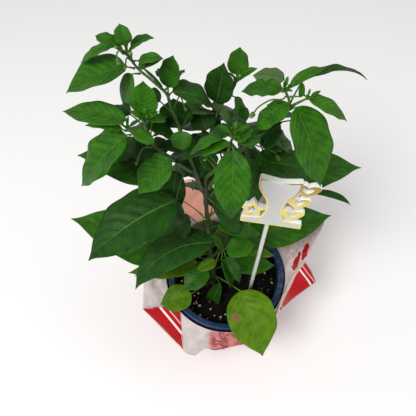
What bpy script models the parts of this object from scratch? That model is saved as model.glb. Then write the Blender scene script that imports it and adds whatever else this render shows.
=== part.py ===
"""A chilli pepper plant in a round nursery pot, in a film wrap, with a plant pick on a stick.

Metres, +Z up. The origin is the centre of the flat underside that the plant stands on, and the front,
where the wrap's collar is lowest, faces -Y. Lengths in the tables below are in millimetres and angles in
degrees. A heading is measured from +X towards +Y, and a pitch upwards from the horizontal.
"""

import math

import bmesh
import bpy
from mathutils import Matrix, Vector

MM = 0.001
GAP = 0.3  # between pieces that touch
WELD = 0.02  # points nearer than this become one

POT_RADIUS = 65.0
POT_HEIGHT = 115.0
POT_FOOT_RADIUS = 45.0
POT_WALL = 1.4
POT_LIP = 6.0
POT_SKIRT = 11.0
POT_SIDES = 40
LIP_BEVEL = 1.2  # at the lip's outer edge
LIP_CURL = (1.5, 2.0)  # how far the lip's inner edge is rounded, across and down
POT_SHOULDER = 1.0  # from the lip's inner edge in to the wall
FOOT_FLARE = (1.5, 2.5)  # where the wall starts, out from the foot ring and above it
FOOT_RING = 4.5
FOOT_SLOPE = 2.0  # inside the foot ring
FOOT_RISE = 4.0  # the raised floor's height above the foot ring
DRAIN_HOLES = 8
DRAIN_HOLE_RADIUS = 4.0
DRAIN_CIRCLE = 30.0

SOIL_TOP = 100.0
SOIL_EDGE = 1.5  # the bevel round the compost's top
SOIL_SLACK = 0.5  # how far the root ball shrinks from the pot near its foot
CROWN_GAP = 0.5  # round the main stem's foot

FILM = 0.8
FILM_GAP = 1.4  # from the pot's wall to the film round it
WRAP_SIDES = 48
HEEL = (2.2, 3.0)  # the bag's rounded heel, out from its flat bottom and up
HEEL_EDGE = 0.4
PLEATS = ((0.8, 11), (0.5, 7))  # two sets round the sleeve: how deep, and how many
SLEEVE_MIDDLE = 0.45  # of the pot's height
SLEEVE_SLACK = (2.0, 3.0)  # how far the film stands off the wall there, and at the top of the sleeve
NECK_DROP = 8.0  # from the lip's skirt down to the top of the sleeve
SKIRT_DROP = 1.0  # where the film meets the lip's skirt
COLLAR_FOOT = (0.6, 3.0)  # where the collar starts, out from the lip and down from its top
COLLAR_SAG = (0.4, 0.35)  # the collar's middle, as shares of its reach and of its rise

# The pick: its stick's two ends, then the plate's place and outlines, which are in the plate's own plane
# with the middle of its lower edge as their origin.
PICK_FOOT = (26, -16, 55)
PICK_HEAD = (32, -9, 292)
PICK_RADIUS = 1.9
PLATE_THICKNESS = 4.5
PLATE_FOOT = 204.0  # up the stick from its foot to the plate's lower edge
PLATE_HEADING = -8.6
CUP_MIDDLE = 1.5
CUP = (
    (25, 0), (25.5, 1), (25, 7), (24, 8), (11.5, 9.5), (8.5, 12.5), (7, 18), (6.8, 28), (8.5, 37), (12.5, 45),
    (15.5, 53), (16, 62), (14.5, 64.5), (8, 63), (0, 61.5),
)
STAR = (-15.5, 20.5, 13)
HEARTS = ((22, 56, 9.5), (18, 38, 9.5), (16.5, 20, 9.5))
SHAPE_SET_BACK = 0.2  # of the star's and the hearts' faces behind the cup's, on both sides
SHAPE_OPENING = 0.42  # the size of the hole in the star and in each heart, as a share of the shape

STEM_SIDES = 8
STEM_STEP = 9.0  # between the rings of a stem
SEAT_REACH = 30.0  # the furthest that a branch or a leaf stands off its stem's axis
LEAF_EDGE = 0.5
LEAF_RIB = 1.0
LEAF_WIDEST = 0.36  # of the blade's length, from its base
PETIOLE_RADIUS = 0.8
PETIOLE_RINGS = ((0, PETIOLE_RADIUS), (0.75, PETIOLE_RADIUS * 0.9))  # places along it, and radii
BLADE_RINGS = (0.03, 0.14, 0.34, 0.56, 0.78, 0.93, 1)
BLADE_LEAST = 0.5  # half a blade's width where it is narrowest
BLADE_FOLD = 0.18  # how far a blade's edges rise over its midrib, as a share of its half width

# The film collar's free edge, as heading, radius and height, once round from the right.
WRAP_EDGE = (
    (0, 97, 120), (21, 117, 152), (45, 104, 160), (90, 88, 182), (120, 92, 180), (150, 95, 152),
    (178, 90, 124), (203, 100, 110), (240, 93, 84), (262, 82, 94), (290, 77, 99), (316, 73, 106),
    (340, 86, 108), (352, 101, 114),
)

# Each stem: its parent and the place on it, from 0 at the foot to 1 at the tip, its radius at both
# ends, and the points that it grows through. The main stem's first point is in the soil.
STEMS = {
    "main_stem": (None, 0, 3.3, 1.1, (
        (-14, -8, 88), (-15, -6, 140), (-19, 0, 196), (-22, 7, 262), (-22, 15, 292), (-19, 28, 320),
        (-11, 40, 340), (-2, 49, 349), (1, 51, 357))),
    "branch_left": ("main_stem", 0.60, 2.1, 1.0, (
        (-31, 11, 300), (-39, 15, 338), (-45, 18, 362), (-48, 20, 376), (-57, 23, 385), (-65, 25, 393),
        (-71, 27, 404))),
    "branch_left_low": ("branch_left", 0.14, 1.7, 1.0, (
        (-38, 6, 310), (-47, 2, 328), (-57, -3, 348), (-60, -5, 364), (-61, -5, 378))),
    "twig_left_low": ("branch_left_low", 0.66, 1.2, 0.9, (
        (-65, -8, 361), (-71, -11, 378))),
    "branch_front": ("main_stem", 0.70, 1.9, 1.0, (
        (-17, 3, 308), (-12, -9, 336), (-7, -16, 362), (-5, -20, 382))),
    "branch_right": ("main_stem", 0.64, 2.1, 1.0, (
        (-8, 11, 304), (9, 12, 330), (23, 12, 352), (33, 10, 374), (28, 11, 388))),
    "twig_right": ("branch_right", 0.86, 1.1, 0.9, (
        (37, 9, 378), (43, 8, 384))),
    "side_shoot": ("main_stem", 0.27, 1.6, 1.1, (
        (-10, -7, 184), (-5, -9, 200))),
}

# Each leaf: its stem and the place on it; the petiole's heading, pitch and length; the blade's heading,
# pitch, length and width; how far the blade bends down from base to tip, and how far it is rolled to
# its right; and its age.
LEAVES = {
    "leaf_left_1": ("branch_left", 0.975, (-167, 56, 7), (162, 18, 14, 11), 50, 0, "grown"),
    "leaf_left_10": ("branch_left", 0.99, (147, 86, 4), (109, 55, 13, 11), 40, 0, "grown"),
    "leaf_left_2": ("branch_left", 0.965, (86, 29, 5), (37, -6, 19, 8), 80, 0, "grown"),
    "leaf_left_3": ("branch_left", 0.955, (174, 46, 8), (-177, -31, 27, 10), 45, 0, "young"),
    "leaf_left_4": ("branch_left", 0.90, (-174, 21, 5), (-167, -19, 45, 27), 45, 0, "grown"),
    "leaf_left_5": ("branch_left", 0.87, (-157, 19, 5), (-144, -67, 27, 15), 20, 0, "grown"),
    "leaf_left_6": ("branch_left", 0.77, (-63, 41, 3), (-151, 63, 28, 13), 20, 180, "old"),
    "leaf_left_7": ("branch_left", 0.745, (30, 36, 2), (61, 65, 22, 16), -15, 0, "grown"),
    "leaf_left_8": ("branch_left", 0.71, (9, 50, 3), (14, -40, 39, 22), 55, 0, "old"),
    "leaf_left_9": ("branch_left", 0.49, (157, 31, 4), (155, -55, 34, 17), 30, 0, "old"),
    "leaf_centre_1": ("main_stem", 0.925, (-170, 25, 3), (64, 70, 32, 23), -10, 0, "old"),
    "leaf_centre_2": ("main_stem", 0.985, (70, 54, 2), (80, 70, 21, 16), -15, 0, "grown"),
    "leaf_centre_3": ("main_stem", 0.955, (-41, 11, 4), (-28, -71, 32, 12), 20, 0, "grown"),
    "leaf_front_1": ("branch_front", 0.90, (-76, 1, 5), (-91, -58, 50, 24), 40, 0, "young"),
    "leaf_front_2": ("branch_front", 0.86, (-101, 59, 6), (-171, -29, 20, 9), 40, 0, "young"),
    "leaf_front_3": ("branch_front", 0.965, (175, 45, 3), (-168, -36, 31, 13), 60, 20, "grown"),
    "leaf_right_1": ("branch_right", 0.975, (159, 14, 1), (160, -19, 28, 16), 30, 0, "grown"),
    "leaf_right_2": ("branch_right", 0.93, (-92, 8, 2), (-155, -34, 29, 16), 40, 0, "young"),
    "leaf_right_3": ("branch_right", 0.985, (5, 63, 3), (26, 10, 27, 8), 70, 0, "grown"),
    "leaf_right_4": ("branch_right", 0.89, (58, 23, 17), (14, -12, 53, 13), 75, -25, "old"),
    "leaf_right_5": ("twig_right", 0.90, (-60, 42, 1), (-6, -32, 34, 14), 35, 0, "young"),
    "leaf_right_6": ("branch_right", 0.83, (-41, 55, 6), (-52, -54, 63, 32), 30, 0, "young"),
    "leaf_right_7": ("branch_right", 0.58, (-3, -73, 9), (33, 50, 23, 19), 20, 0, "old"),
    "leaf_right_8": ("branch_right", 0.50, (-30, -40, 18), (-6, -14, 42, 25), 30, 0, "old"),
    "leaf_right_9": ("branch_right", 0.46, (-90, -10, 5), (-96, -50, 27, 22), 30, 0, "old"),
    "leaf_low_left_1": ("branch_left_low", 0.97, (74, 52, 2), (85, 69, 23, 18), -15, 0, "young"),
    "leaf_low_left_2": ("twig_left_low", 0.95, (99, 73, 4), (167, -6, 45, 19), 40, 0, "grown"),
    "leaf_low_left_3": ("twig_left_low", 0.60, (-131, 45, 4), (-160, -47, 57, 31), 30, 0, "young"),
    "leaf_low_left_4": ("branch_left_low", 0.25, (-173, -64, 12), (176, 15, 71, 44), 30, 0, "grown"),
    "leaf_low_left_5": ("branch_left_low", 0.45, (-65, 38, 9), (-142, -32, 35, 26), 30, 0, "grown"),
    "leaf_low_left_6": ("twig_left_low", 0.60, (-148, 57, 3), (-175, 17, 23, 8), 30, 0, "young"),
    "leaf_low_left_7": ("twig_left_low", 0.82, (-63, 45, 8), (-14, -27, 15, 10), 20, 0, "young"),
    "leaf_middle_1": ("main_stem", 0.625, (-40, -20, 6), (-30, -48, 42, 20), 30, 0, "old"),
    "leaf_middle_2": ("main_stem", 0.56, (100, 35, 9), (68, 70, 36, 16), -10, 0, "old"),
    "leaf_big_1": ("branch_left_low", 0.10, (-122, -60, 28), (-150, -16, 88, 48), 40, 0, "old"),
    "leaf_big_2": ("main_stem", 0.235, (166, 12, 28), (172, 22, 119, 60), 25, 0, "grown"),
    "leaf_big_3": ("main_stem", 0.24, (-120, 20, 8), (-138, -18, 34, 24), 30, 0, "grown"),
    "leaf_big_4": ("main_stem", 0.37, (-78, 61, 25), (-164, -24, 94, 40), 45, 0, "old"),
    "leaf_big_5": ("main_stem", 0.15, (158, 21, 15), (-168, 3, 70, 29), 30, 0, "pale"),
    "leaf_big_6": ("main_stem", 0.07, (-133, 38, 39), (-164, -14, 36, 30), 40, 0, "pale"),
    "leaf_big_7": ("main_stem", 0.13, (-35, 4, 32), (-69, -22, 74, 52), 50, 0, "pale"),
    "leaf_big_8": ("main_stem", 0.21, (33, 15, 40), (16, 4, 98, 45), 30, 0, "grown"),
    "leaf_big_9": ("main_stem", 0.51, (30, 19, 52), (9, 4, 97, 46), 30, 0, "grown"),
    "leaf_shoot_1": ("side_shoot", 0.90, (10, 20, 5), (8, -10, 38, 20), 40, 0, "grown"),
    "leaf_shoot_2": ("main_stem", 0.17, (27, -20, 20), (1, -9, 51, 26), 20, 0, "grown"),
}

# How far a blade curves to its left from base to tip.
BENDS = {"leaf_big_4": 55}

# Each nodding bud: its stem and the place on it, the points that its stalk passes through, the last of
# them at the bud's foot, and the bud's radius.
BUDS = {
    "bud_left": ("branch_left", 0.97, ((-73, 22, 410), (-75, 20, 409), (-75, 19, 407)), 1.7),
    "bud_right": ("branch_right", 0.96, (
        (26, 5, 386), (20, 4, 387), (15, 2, 386), (11, 0, 384), (9, -1, 381)), 1.8),
}
BUD_STALK_RADIUS = 0.55
BUD_STEP = 1.5
# Along a bud from its foot, in radii: how far down, and how thick.
BUD_SHAPE = ((0.5, 0.75), (1.0, 0.95), (1.7, 1.0), (2.4, 0.75), (2.9, 0.3))

COLOURS = {
    "young": (0.10, 0.30, 0.03),
    "grown": (0.05, 0.20, 0.02),
    "old": (0.03, 0.12, 0.015),
    "pale": (0.16, 0.30, 0.03),
    "stem": (0.12, 0.25, 0.03),
    "bud": (0.30, 0.40, 0.10),
    "pot": (0.03, 0.09, 0.17),
    "soil": (0.012, 0.010, 0.008),
    "film": (0.72, 0.05, 0.06),
    "pick": (0.85, 0.85, 0.83),
}


def clear_scene():
    for old in list(bpy.data.objects):
        bpy.data.objects.remove(old, do_unlink=True)


def collection(name):
    made = bpy.data.collections.new(name)
    bpy.context.scene.collection.children.link(made)
    return made


def material(name, colour, roughness):
    made = bpy.data.materials.new(name)
    made.use_nodes = True
    shader = made.node_tree.nodes["Principled BSDF"]
    shader.inputs["Base Color"].default_value = (*colour, 1)
    shader.inputs["Roughness"].default_value = roughness
    shader.inputs["Metallic"].default_value = 0
    return made


def finished(obj, colour, roughness):
    """Puts the object in the plant's collection, in metres, with a material of its own."""
    plant.objects.link(obj)
    obj.data.materials.append(material(f"{obj.name}_finish", COLOURS[colour], roughness))
    return obj


def mesh_object(name, points, faces):
    mesh = bpy.data.meshes.new(name)
    mesh.from_pydata([Vector(p) * MM for p in points], [], faces)
    mesh.update()
    return bpy.data.objects.new(name, mesh)


def direction(heading, pitch):
    h, p = math.radians(heading), math.radians(pitch)
    return Vector((math.cos(p) * math.cos(h), math.cos(p) * math.sin(h), math.sin(p)))


def right_of(heading):
    h = math.radians(heading)
    return Vector((math.sin(h), -math.cos(h), 0))


def smooth_route(points, step):
    """Points about a step apart on the Catmull-Rom curve through the given ones."""
    ends = [2 * points[0] - points[1], *points, 2 * points[-1] - points[-2]]
    route = []
    for a, b, c, d in zip(ends, ends[1:], ends[2:], ends[3:]):
        count = max(1, round((c - b).length / step))
        for i in range(count):
            t = i / count
            route.append(0.5 * (
                2 * b + (c - a) * t + (2 * a - 5 * b + 4 * c - d) * t**2 + (3 * b - a - 3 * c + d) * t**3
            ))
    return [*route, points[-1].copy()]


def place_on(stem, place):
    """The point on a stem's axis at a place from 0 to 1."""
    route = stem[0]
    lengths = [(b - a).length for a, b in zip(route, route[1:])]
    left = place * sum(lengths)
    for a, b, length in zip(route, route[1:], lengths):
        if left <= length:
            break
        left -= length
    return a.lerp(b, min(1, left / length))


def clearance(stem, point):
    """How far a point is off a stem's surface."""
    route, foot_radius, tip_radius = stem
    nearest = SEAT_REACH
    for i, (a, b) in enumerate(zip(route, route[1:])):
        t = max(0, min(1, (point - a).dot(b - a) / (b - a).length_squared))
        radius = foot_radius + (tip_radius - foot_radius) * (i + t) / (len(route) - 1)
        nearest = min(nearest, (point - a.lerp(b, t)).length - radius)
    return nearest


def seat(stem, place, way, radius):
    """Where a round foot that points along way stands a gap off the stem's surface."""
    point = place_on(stem, place)
    side = way.orthogonal().normalized()
    rim = [Matrix.Rotation(math.radians(turn), 3, way) @ side * radius for turn in range(0, 360, 45)]
    low, high = 0, SEAT_REACH
    for _ in range(20):
        middle = (low + high) / 2
        if min(clearance(stem, point + way * middle + offset) for offset in rim) > GAP:
            high = middle
        else:
            low = middle
    return point + way * high


def screwed(name, profile, segments):
    """The surface that a profile of radius and height sweeps about Z."""
    mesh = bpy.data.meshes.new(name)
    count = len(profile)
    mesh.from_pydata([(r * MM, 0, z * MM) for r, z in profile], [(i, i + 1) for i in range(count - 1)], [])
    obj = bpy.data.objects.new(name, mesh)
    screw = obj.modifiers.new("Turn", "SCREW")
    screw.steps = screw.render_steps = segments
    screw.use_merge_vertices = True
    screw.merge_threshold = WELD * MM
    screw.use_smooth_shade = True
    return obj


def pot():
    """A thin moulded shell: a raised floor in a foot ring, a tapered wall, and a lip with a skirt."""
    half = POT_WALL / 2
    floor = FILM + GAP + half
    top = POT_HEIGHT - half
    outer = POT_RADIUS - half
    inner = outer - POT_LIP
    profile = [
        (outer, top - POT_SKIRT), (outer, top - LIP_BEVEL), (outer - LIP_BEVEL, top),
        (inner + LIP_CURL[0], top), (inner, top - LIP_CURL[1]), (inner - POT_SHOULDER, top - POT_SKIRT),
        (POT_FOOT_RADIUS + FOOT_FLARE[0], floor + FOOT_FLARE[1]), (POT_FOOT_RADIUS, floor),
        (POT_FOOT_RADIUS - FOOT_RING, floor), (POT_FOOT_RADIUS - FOOT_RING - FOOT_SLOPE, floor + FOOT_RISE),
        (0, floor + FOOT_RISE),
    ]
    obj = screwed("pot", profile, POT_SIDES)
    shell = obj.modifiers.new("Wall", "SOLIDIFY")
    shell.thickness = POT_WALL * MM
    shell.offset = 0
    drains = obj.modifiers.new("Drain holes", "BOOLEAN")
    drains.operation = "DIFFERENCE"
    drains.object = drain_cutter(floor + FOOT_RISE)
    return finished(obj, "pot", 0.35)


def cylinder(name, radius, foot, head, sides):
    """A capped cylinder between two points, in no collection yet."""
    foot, head = Vector(foot), Vector(head)
    bpy.ops.mesh.primitive_cylinder_add(vertices=sides, radius=radius * MM, depth=(head - foot).length * MM)
    obj = bpy.context.active_object
    obj.name = name
    obj.matrix_world = Matrix.Translation((foot + head) / 2 * MM) @ (
        (head - foot).to_track_quat("Z", "Y").to_matrix().to_4x4()
    )
    for owner in list(obj.users_collection):
        owner.objects.unlink(obj)
    return obj


def cutter_of(name, radius, foot, head, sides):
    """A cylinder that only cuts, kept out of renders."""
    obj = cylinder(name, radius, foot, head, sides)
    cutters.objects.link(obj)
    obj.hide_render = True
    obj.display_type = "WIRE"
    return obj


def drain_cutter(height):
    """All the drain holes' cylinders, joined in one cutter."""
    parts = []
    for i in range(DRAIN_HOLES):
        at = direction(i * 360 / DRAIN_HOLES, 0) * DRAIN_CIRCLE
        reach = Vector((0, 0, 3))
        parts.append(cutter_of(f"drain_{i}", DRAIN_HOLE_RADIUS, at + Vector((0, 0, height)) - reach,
                               at + Vector((0, 0, height)) + reach, 12))
    with bpy.context.temp_override(active_object=parts[0], selected_editable_objects=parts):
        bpy.ops.object.join()
    return parts[0]


def pot_inside(height):
    """The radius of the pot's inner face at a height."""
    low, high = FILM + GAP + POT_WALL / 2 + FOOT_FLARE[1], POT_HEIGHT - POT_WALL / 2 - POT_SKIRT
    foot, top = POT_FOOT_RADIUS + FOOT_FLARE[0], POT_RADIUS - POT_WALL / 2 - POT_LIP - POT_SHOULDER
    return foot + (top - foot) * (height - low) / (high - low) - POT_WALL / 2


def soil():
    """The root ball and compost that fill the pot to below its lip, with the holes of the stem and the pick."""
    floor = FILM + GAP + POT_WALL + FOOT_RISE + GAP
    profile = [
        (0, SOIL_TOP), (pot_inside(SOIL_TOP) - GAP - SOIL_EDGE, SOIL_TOP),
        (pot_inside(SOIL_TOP - SOIL_EDGE) - GAP, SOIL_TOP - SOIL_EDGE),
        (pot_inside(floor + FOOT_RISE) - GAP - SOIL_SLACK, floor + FOOT_RISE),
        (POT_FOOT_RADIUS - FOOT_RING - SOIL_SLACK * 2, floor), (0, floor),
    ]
    obj = screwed("soil", profile, POT_SIDES)
    route, radius, _ = stems["main_stem"]
    depth = Vector((0, 0, SOIL_TOP))
    crown = cutter_of("crown_hole", radius + CROWN_GAP, route[0] - Vector((0, 0, GAP)), route[0] + depth, 16)
    foot, head = Vector(PICK_FOOT), Vector(PICK_HEAD)
    way = (head - foot).normalized()
    bore = cutter_of("pick_hole", PICK_RADIUS + GAP, foot - way * GAP, foot + way * SOIL_TOP, 12)
    for cutter in (crown, bore):
        cut = obj.modifiers.new(cutter.name, "BOOLEAN")
        cut.operation = "DIFFERENCE"
        cut.object = cutter
    return finished(obj, "soil", 0.95)


def around(table, heading):
    """Radius and height at a heading, read smoothly from a table that goes once round."""
    heading %= 360
    rows = [(table[-1][0] - 360, *table[-1][1:]), *table, (table[0][0] + 360, *table[0][1:])]
    for low, high in zip(rows, rows[1:]):
        if low[0] <= heading <= high[0]:
            t = (heading - low[0]) / (high[0] - low[0])
            t = t * t * (3 - 2 * t)
            return [a + (b - a) * t for a, b in zip(low[1:], high[1:])]


def wrap():
    """A film bag: a flat bottom, a sleeve round the pot, and a collar that flares out above the lip."""
    half = FILM / 2
    top = POT_HEIGHT - POT_SKIRT
    low = POT_FOOT_RADIUS + FILM_GAP + half
    high = POT_RADIUS - POT_LIP + FILM_GAP + half
    hem = POT_RADIUS + FILM_GAP + half
    start = POT_HEIGHT - COLLAR_FOOT[1]
    (deep, many), (shallow, few) = PLEATS
    points, faces = [(0, 0, half)], []
    for i in range(WRAP_SIDES):
        heading = 360 * i / WRAP_SIDES
        turn = math.radians(heading)
        pleat = deep * math.cos(turn * many) + shallow * math.sin(turn * few)
        radius, height = around(WRAP_EDGE, heading)
        rings = [
            (low + HEEL_EDGE, half), (low + HEEL[0], half + HEEL[1]),
            ((low + high) / 2 + SLEEVE_SLACK[0] + pleat, POT_HEIGHT * SLEEVE_MIDDLE),
            (high + SLEEVE_SLACK[1] + pleat, top - NECK_DROP), (hem, top - SKIRT_DROP),
            (hem + COLLAR_FOOT[0], start),
            (hem + (radius - hem) * COLLAR_SAG[0], start + (height - start) * COLLAR_SAG[1]),
            (radius, height),
        ]
        points += [(r * direction(heading, 0).x, r * direction(heading, 0).y, z) for r, z in rings]
    count = len(rings)
    for i in range(WRAP_SIDES):
        a, b = 1 + i * count, 1 + (i + 1) % WRAP_SIDES * count
        faces.append((0, b, a))
        faces += [(a + j, b + j, b + j + 1, a + j + 1) for j in range(count - 1)]
    obj = mesh_object("wrap", points, faces)
    shell = obj.modifiers.new("Film", "SOLIDIFY")
    shell.thickness = FILM * MM
    shell.offset = 0
    return finished(obj, "film", 0.25)


def stem(name):
    """A tapered stem with round rings, as one tube."""
    route, foot_radius, tip_radius = stems[name]
    curve = bpy.data.curves.new(name, "CURVE")
    curve.dimensions = "3D"
    curve.bevel_depth = MM
    curve.bevel_resolution = STEM_SIDES // 2 - 2
    curve.use_fill_caps = True
    spline = curve.splines.new("POLY")
    spline.points.add(len(route) - 1)
    for i, (point, at) in enumerate(zip(spline.points, route)):
        point.co = (*(at * MM), 1)
        point.radius = foot_radius + (tip_radius - foot_radius) * i / (len(route) - 1)
    return finished(bpy.data.objects.new(name, curve), "stem", 0.5)


def grow_stems():
    """Each stem's route and radii, its foot seated on its parent."""
    for name, (parent, place, foot_radius, tip_radius, points) in STEMS.items():
        points = [Vector(p) for p in points]
        if parent:
            way = (points[0] - place_on(stems[parent], place)).normalized()
            points.insert(0, seat(stems[parent], place, way, foot_radius))
        stems[name] = (smooth_route(points, STEM_STEP), foot_radius, tip_radius)


def blade_share(t):
    """The half width at a place along the blade, as a share of the widest."""
    rise, fall = 0.6, 0.6 * (1 - LEAF_WIDEST) / LEAF_WIDEST
    return (t / LEAF_WIDEST) ** rise * ((1 - t) / (1 - LEAF_WIDEST)) ** fall


def leaf(name, stem_name, place, petiole, blade, droop, roll, age):
    """A petiole and a blade, lofted as one closed skin through six-sided sections."""
    petiole_heading, petiole_pitch, petiole_length = petiole
    heading, pitch, length, width = blade
    bend = BENDS.get(name, 0)
    way = direction(petiole_heading, petiole_pitch)
    at = seat(stems[stem_name], place, way, PETIOLE_RADIUS)
    rings = []
    for t, radius in PETIOLE_RINGS:
        rings.append(section(at + way * petiole_length * t, petiole_heading, petiole_pitch, 0, radius,
                             radius / 2, radius))
    at = at + way * petiole_length
    last = 0
    for t in BLADE_RINGS:
        middle = (last + t) / 2
        here = direction(heading + bend * (middle - LEAF_WIDEST), pitch + droop * (0.5 - middle))
        at = at + here * length * (t - last)
        wide = max(BLADE_LEAST, width / 2 * blade_share(min(t, 0.999)))
        rib = LEAF_RIB * (1 - 0.6 * t)
        rings.append(section(at, heading + bend * (t - LEAF_WIDEST), pitch + droop * (0.5 - t), roll, wide,
                             LEAF_EDGE / 2, rib / 2))
        last = t
    points = [p for ring in rings for p in ring]
    faces = [tuple(range(6)), tuple(range(len(points) - 1, len(points) - 7, -1))]
    for i in range(len(rings) - 1):
        for j in range(6):
            k = (j + 1) % 6
            faces.append((6 * i + j, 6 * i + 6 + j, 6 * i + 6 + k, 6 * i + k))
    obj = mesh_object(name, points, faces)
    obj.data.shade_smooth()
    return finished(obj, age, 0.4)


def section(at, heading, pitch, roll, wide, edge, rib):
    """Six points round a leaf's section: left, middle and right on top, then back underneath."""
    way = direction(heading, pitch)
    side = Matrix.Rotation(math.radians(roll), 3, way) @ right_of(heading)
    up = side.cross(way)
    lift = up * wide * BLADE_FOLD
    left, right = at - side * wide + lift, at + side * wide + lift
    return [left - up * edge, at - up * rib, right - up * edge, right + up * edge, at + up * rib, left + up * edge]


def bud(name, stem_name, place, points, radius):
    """A closed flower bud that nods on a thin stalk, as one tube that swells at its end."""
    points = [Vector(p) for p in points]
    way = (points[0] - place_on(stems[stem_name], place)).normalized()
    points.insert(0, seat(stems[stem_name], place, way, BUD_STALK_RADIUS))
    stalk = [(at, BUD_STALK_RADIUS) for at in smooth_route(points, BUD_STEP)]
    down = Vector((0, 0, -1))
    stalk += [(points[-1] + down * radius * along, radius * thick) for along, thick in BUD_SHAPE]
    curve = bpy.data.curves.new(name, "CURVE")
    curve.dimensions = "3D"
    curve.bevel_depth = MM
    curve.bevel_resolution = 1
    curve.use_fill_caps = True
    spline = curve.splines.new("POLY")
    spline.points.add(len(stalk) - 1)
    for point, (where, thick) in zip(spline.points, stalk):
        point.co = (*(where * MM), 1)
        point.radius = thick
    return finished(bpy.data.objects.new(name, curve), "bud", 0.4)


def pick_stick():
    """A straight round stick, pushed deep in the soil, that passes up behind the plate."""
    obj = cylinder("pick_stick", PICK_RADIUS, PICK_FOOT, PICK_HEAD, 10)
    return finished(obj, "pick", 0.4)


def plate_frame():
    """The plate's own axes: across, up and forwards, from the middle of its lower edge."""
    foot, head = Vector(PICK_FOOT), Vector(PICK_HEAD)
    up = (head - foot).normalized()
    across = direction(PLATE_HEADING, 0)
    across = (across - up * across.dot(up)).normalized()
    forwards = across.cross(up)
    centre = foot + up * PLATE_FOOT + forwards * (PICK_RADIUS + GAP + PLATE_THICKNESS / 2)
    return Matrix.Translation(centre * MM) @ Matrix((across, up, forwards)).transposed().to_4x4()


def flat_piece(name, outline, thickness):
    """A flat piece cut to an outline, as one closed mesh in the plate's frame."""
    curve = bpy.data.curves.new(name, "CURVE")
    curve.dimensions = "2D"
    curve.fill_mode = "BOTH"
    curve.extrude = thickness / 2 * MM
    spline = curve.splines.new("POLY")
    spline.use_cyclic_u = True
    spline.points.add(len(outline) - 1)
    for point, (across, up) in zip(spline.points, outline):
        point.co = (across * MM, up * MM, 0, 1)
    drawn = bpy.data.objects.new(f"{name}_outline", curve)
    cutters.objects.link(drawn)
    mesh = bpy.data.meshes.new_from_object(drawn.evaluated_get(bpy.context.evaluated_depsgraph_get()))
    bpy.data.objects.remove(drawn)
    skin = bmesh.new()
    skin.from_mesh(mesh)
    bmesh.ops.remove_doubles(skin, verts=skin.verts, dist=WELD * MM)
    bmesh.ops.recalc_face_normals(skin, faces=skin.faces)
    skin.to_mesh(mesh)
    skin.free()
    obj = bpy.data.objects.new(name, mesh)
    obj.matrix_world = plate_frame()
    return obj


def star(x, y, radius):
    """A five-pointed star's outline."""
    outline = []
    for i in range(10):
        reach = radius * (0.5 if i % 2 else 1)
        turn = math.radians(90 + 36 * i)
        outline.append((x + reach * math.cos(turn), y + reach * math.sin(turn)))
    return outline


def heart(x, y, radius):
    """A heart's outline, a little taller than it is wide."""
    outline = []
    for i in range(18):
        t = math.radians(-20 * i - 10)
        tall = 13 * math.cos(t) - 5 * math.cos(2 * t) - 2 * math.cos(3 * t)
        outline.append((x + radius * math.sin(t) ** 3, y + radius * tall / 16))
    return outline


def pick_plate():
    """A plate in one piece: a cup on a broad foot, a star on its left, three hearts on its right."""
    right = [(CUP_MIDDLE + x, y) for x, y in CUP]
    left = [(CUP_MIDDLE - x, y) for x, y in reversed(CUP[:-1])]
    obj = flat_piece("pick_plate", right + left, PLATE_THICKNESS)
    outlines = {"star": star(*STAR)}
    for i, place in enumerate(HEARTS):
        outlines[f"heart_{i}"] = heart(*place)
    openings = {"star_opening": star(*STAR[:2], STAR[2] * SHAPE_OPENING)}
    for i, (x, y, radius) in enumerate(HEARTS):
        openings[f"heart_{i}_opening"] = heart(x, y, radius * SHAPE_OPENING)
    for name, outline in outlines.items():
        combine(obj, flat_piece(name, outline, PLATE_THICKNESS - 2 * SHAPE_SET_BACK), "UNION")
    for name, outline in openings.items():
        combine(obj, flat_piece(name, outline, PLATE_THICKNESS + 2), "DIFFERENCE")
    return finished(obj, "pick", 0.3)


def combine(obj, tool, operation):
    """Joins a tool to the object or cuts it out. The tool stays out of renders."""
    cutters.objects.link(tool)
    tool.hide_render = True
    tool.display_type = "WIRE"
    step = obj.modifiers.new(tool.name, "BOOLEAN")
    step.operation = operation
    step.object = tool


clear_scene()
plant = collection("potted_chilli_plant")
cutters = collection("cutters")
stems = {}
grow_stems()
pot()
soil()
wrap()
pick_stick()
pick_plate()
for stem_name in STEMS:
    stem(stem_name)
for leaf_name, row in LEAVES.items():
    leaf(leaf_name, *row)
for bud_name, row in BUDS.items():
    bud(bud_name, *row)
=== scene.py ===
"""A chilli pepper plant in a round nursery pot, in a film wrap, with a plant pick on a stick.

The frame is in metres with +Z up. Lengths in the tables are in millimetres and angles in degrees. A
heading is measured from +X towards +Y, and a pitch upwards from the horizontal.
"""
import math
import random

import bmesh
import bpy
import numpy as np
from mathutils import Matrix, Vector, noise


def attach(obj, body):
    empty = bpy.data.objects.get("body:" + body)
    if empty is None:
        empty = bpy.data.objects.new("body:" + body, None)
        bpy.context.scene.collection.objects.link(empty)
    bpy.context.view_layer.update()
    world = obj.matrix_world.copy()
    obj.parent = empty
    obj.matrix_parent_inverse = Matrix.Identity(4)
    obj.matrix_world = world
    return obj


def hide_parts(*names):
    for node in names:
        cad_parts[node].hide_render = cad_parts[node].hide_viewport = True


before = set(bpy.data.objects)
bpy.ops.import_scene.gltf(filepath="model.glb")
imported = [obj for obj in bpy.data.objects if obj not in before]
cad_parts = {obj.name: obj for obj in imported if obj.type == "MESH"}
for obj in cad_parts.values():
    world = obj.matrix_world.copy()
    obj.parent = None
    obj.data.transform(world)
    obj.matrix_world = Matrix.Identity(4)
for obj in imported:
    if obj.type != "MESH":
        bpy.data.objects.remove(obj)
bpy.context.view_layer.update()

# ---- The studio -------------------------------------------------------------------------------------
# A plain pale floor under a large soft key light from the upper front left, with a weak fill from the
# right and an even pale surround. The camera looks steeply down on the plant from the front.
scene = bpy.context.scene
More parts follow.
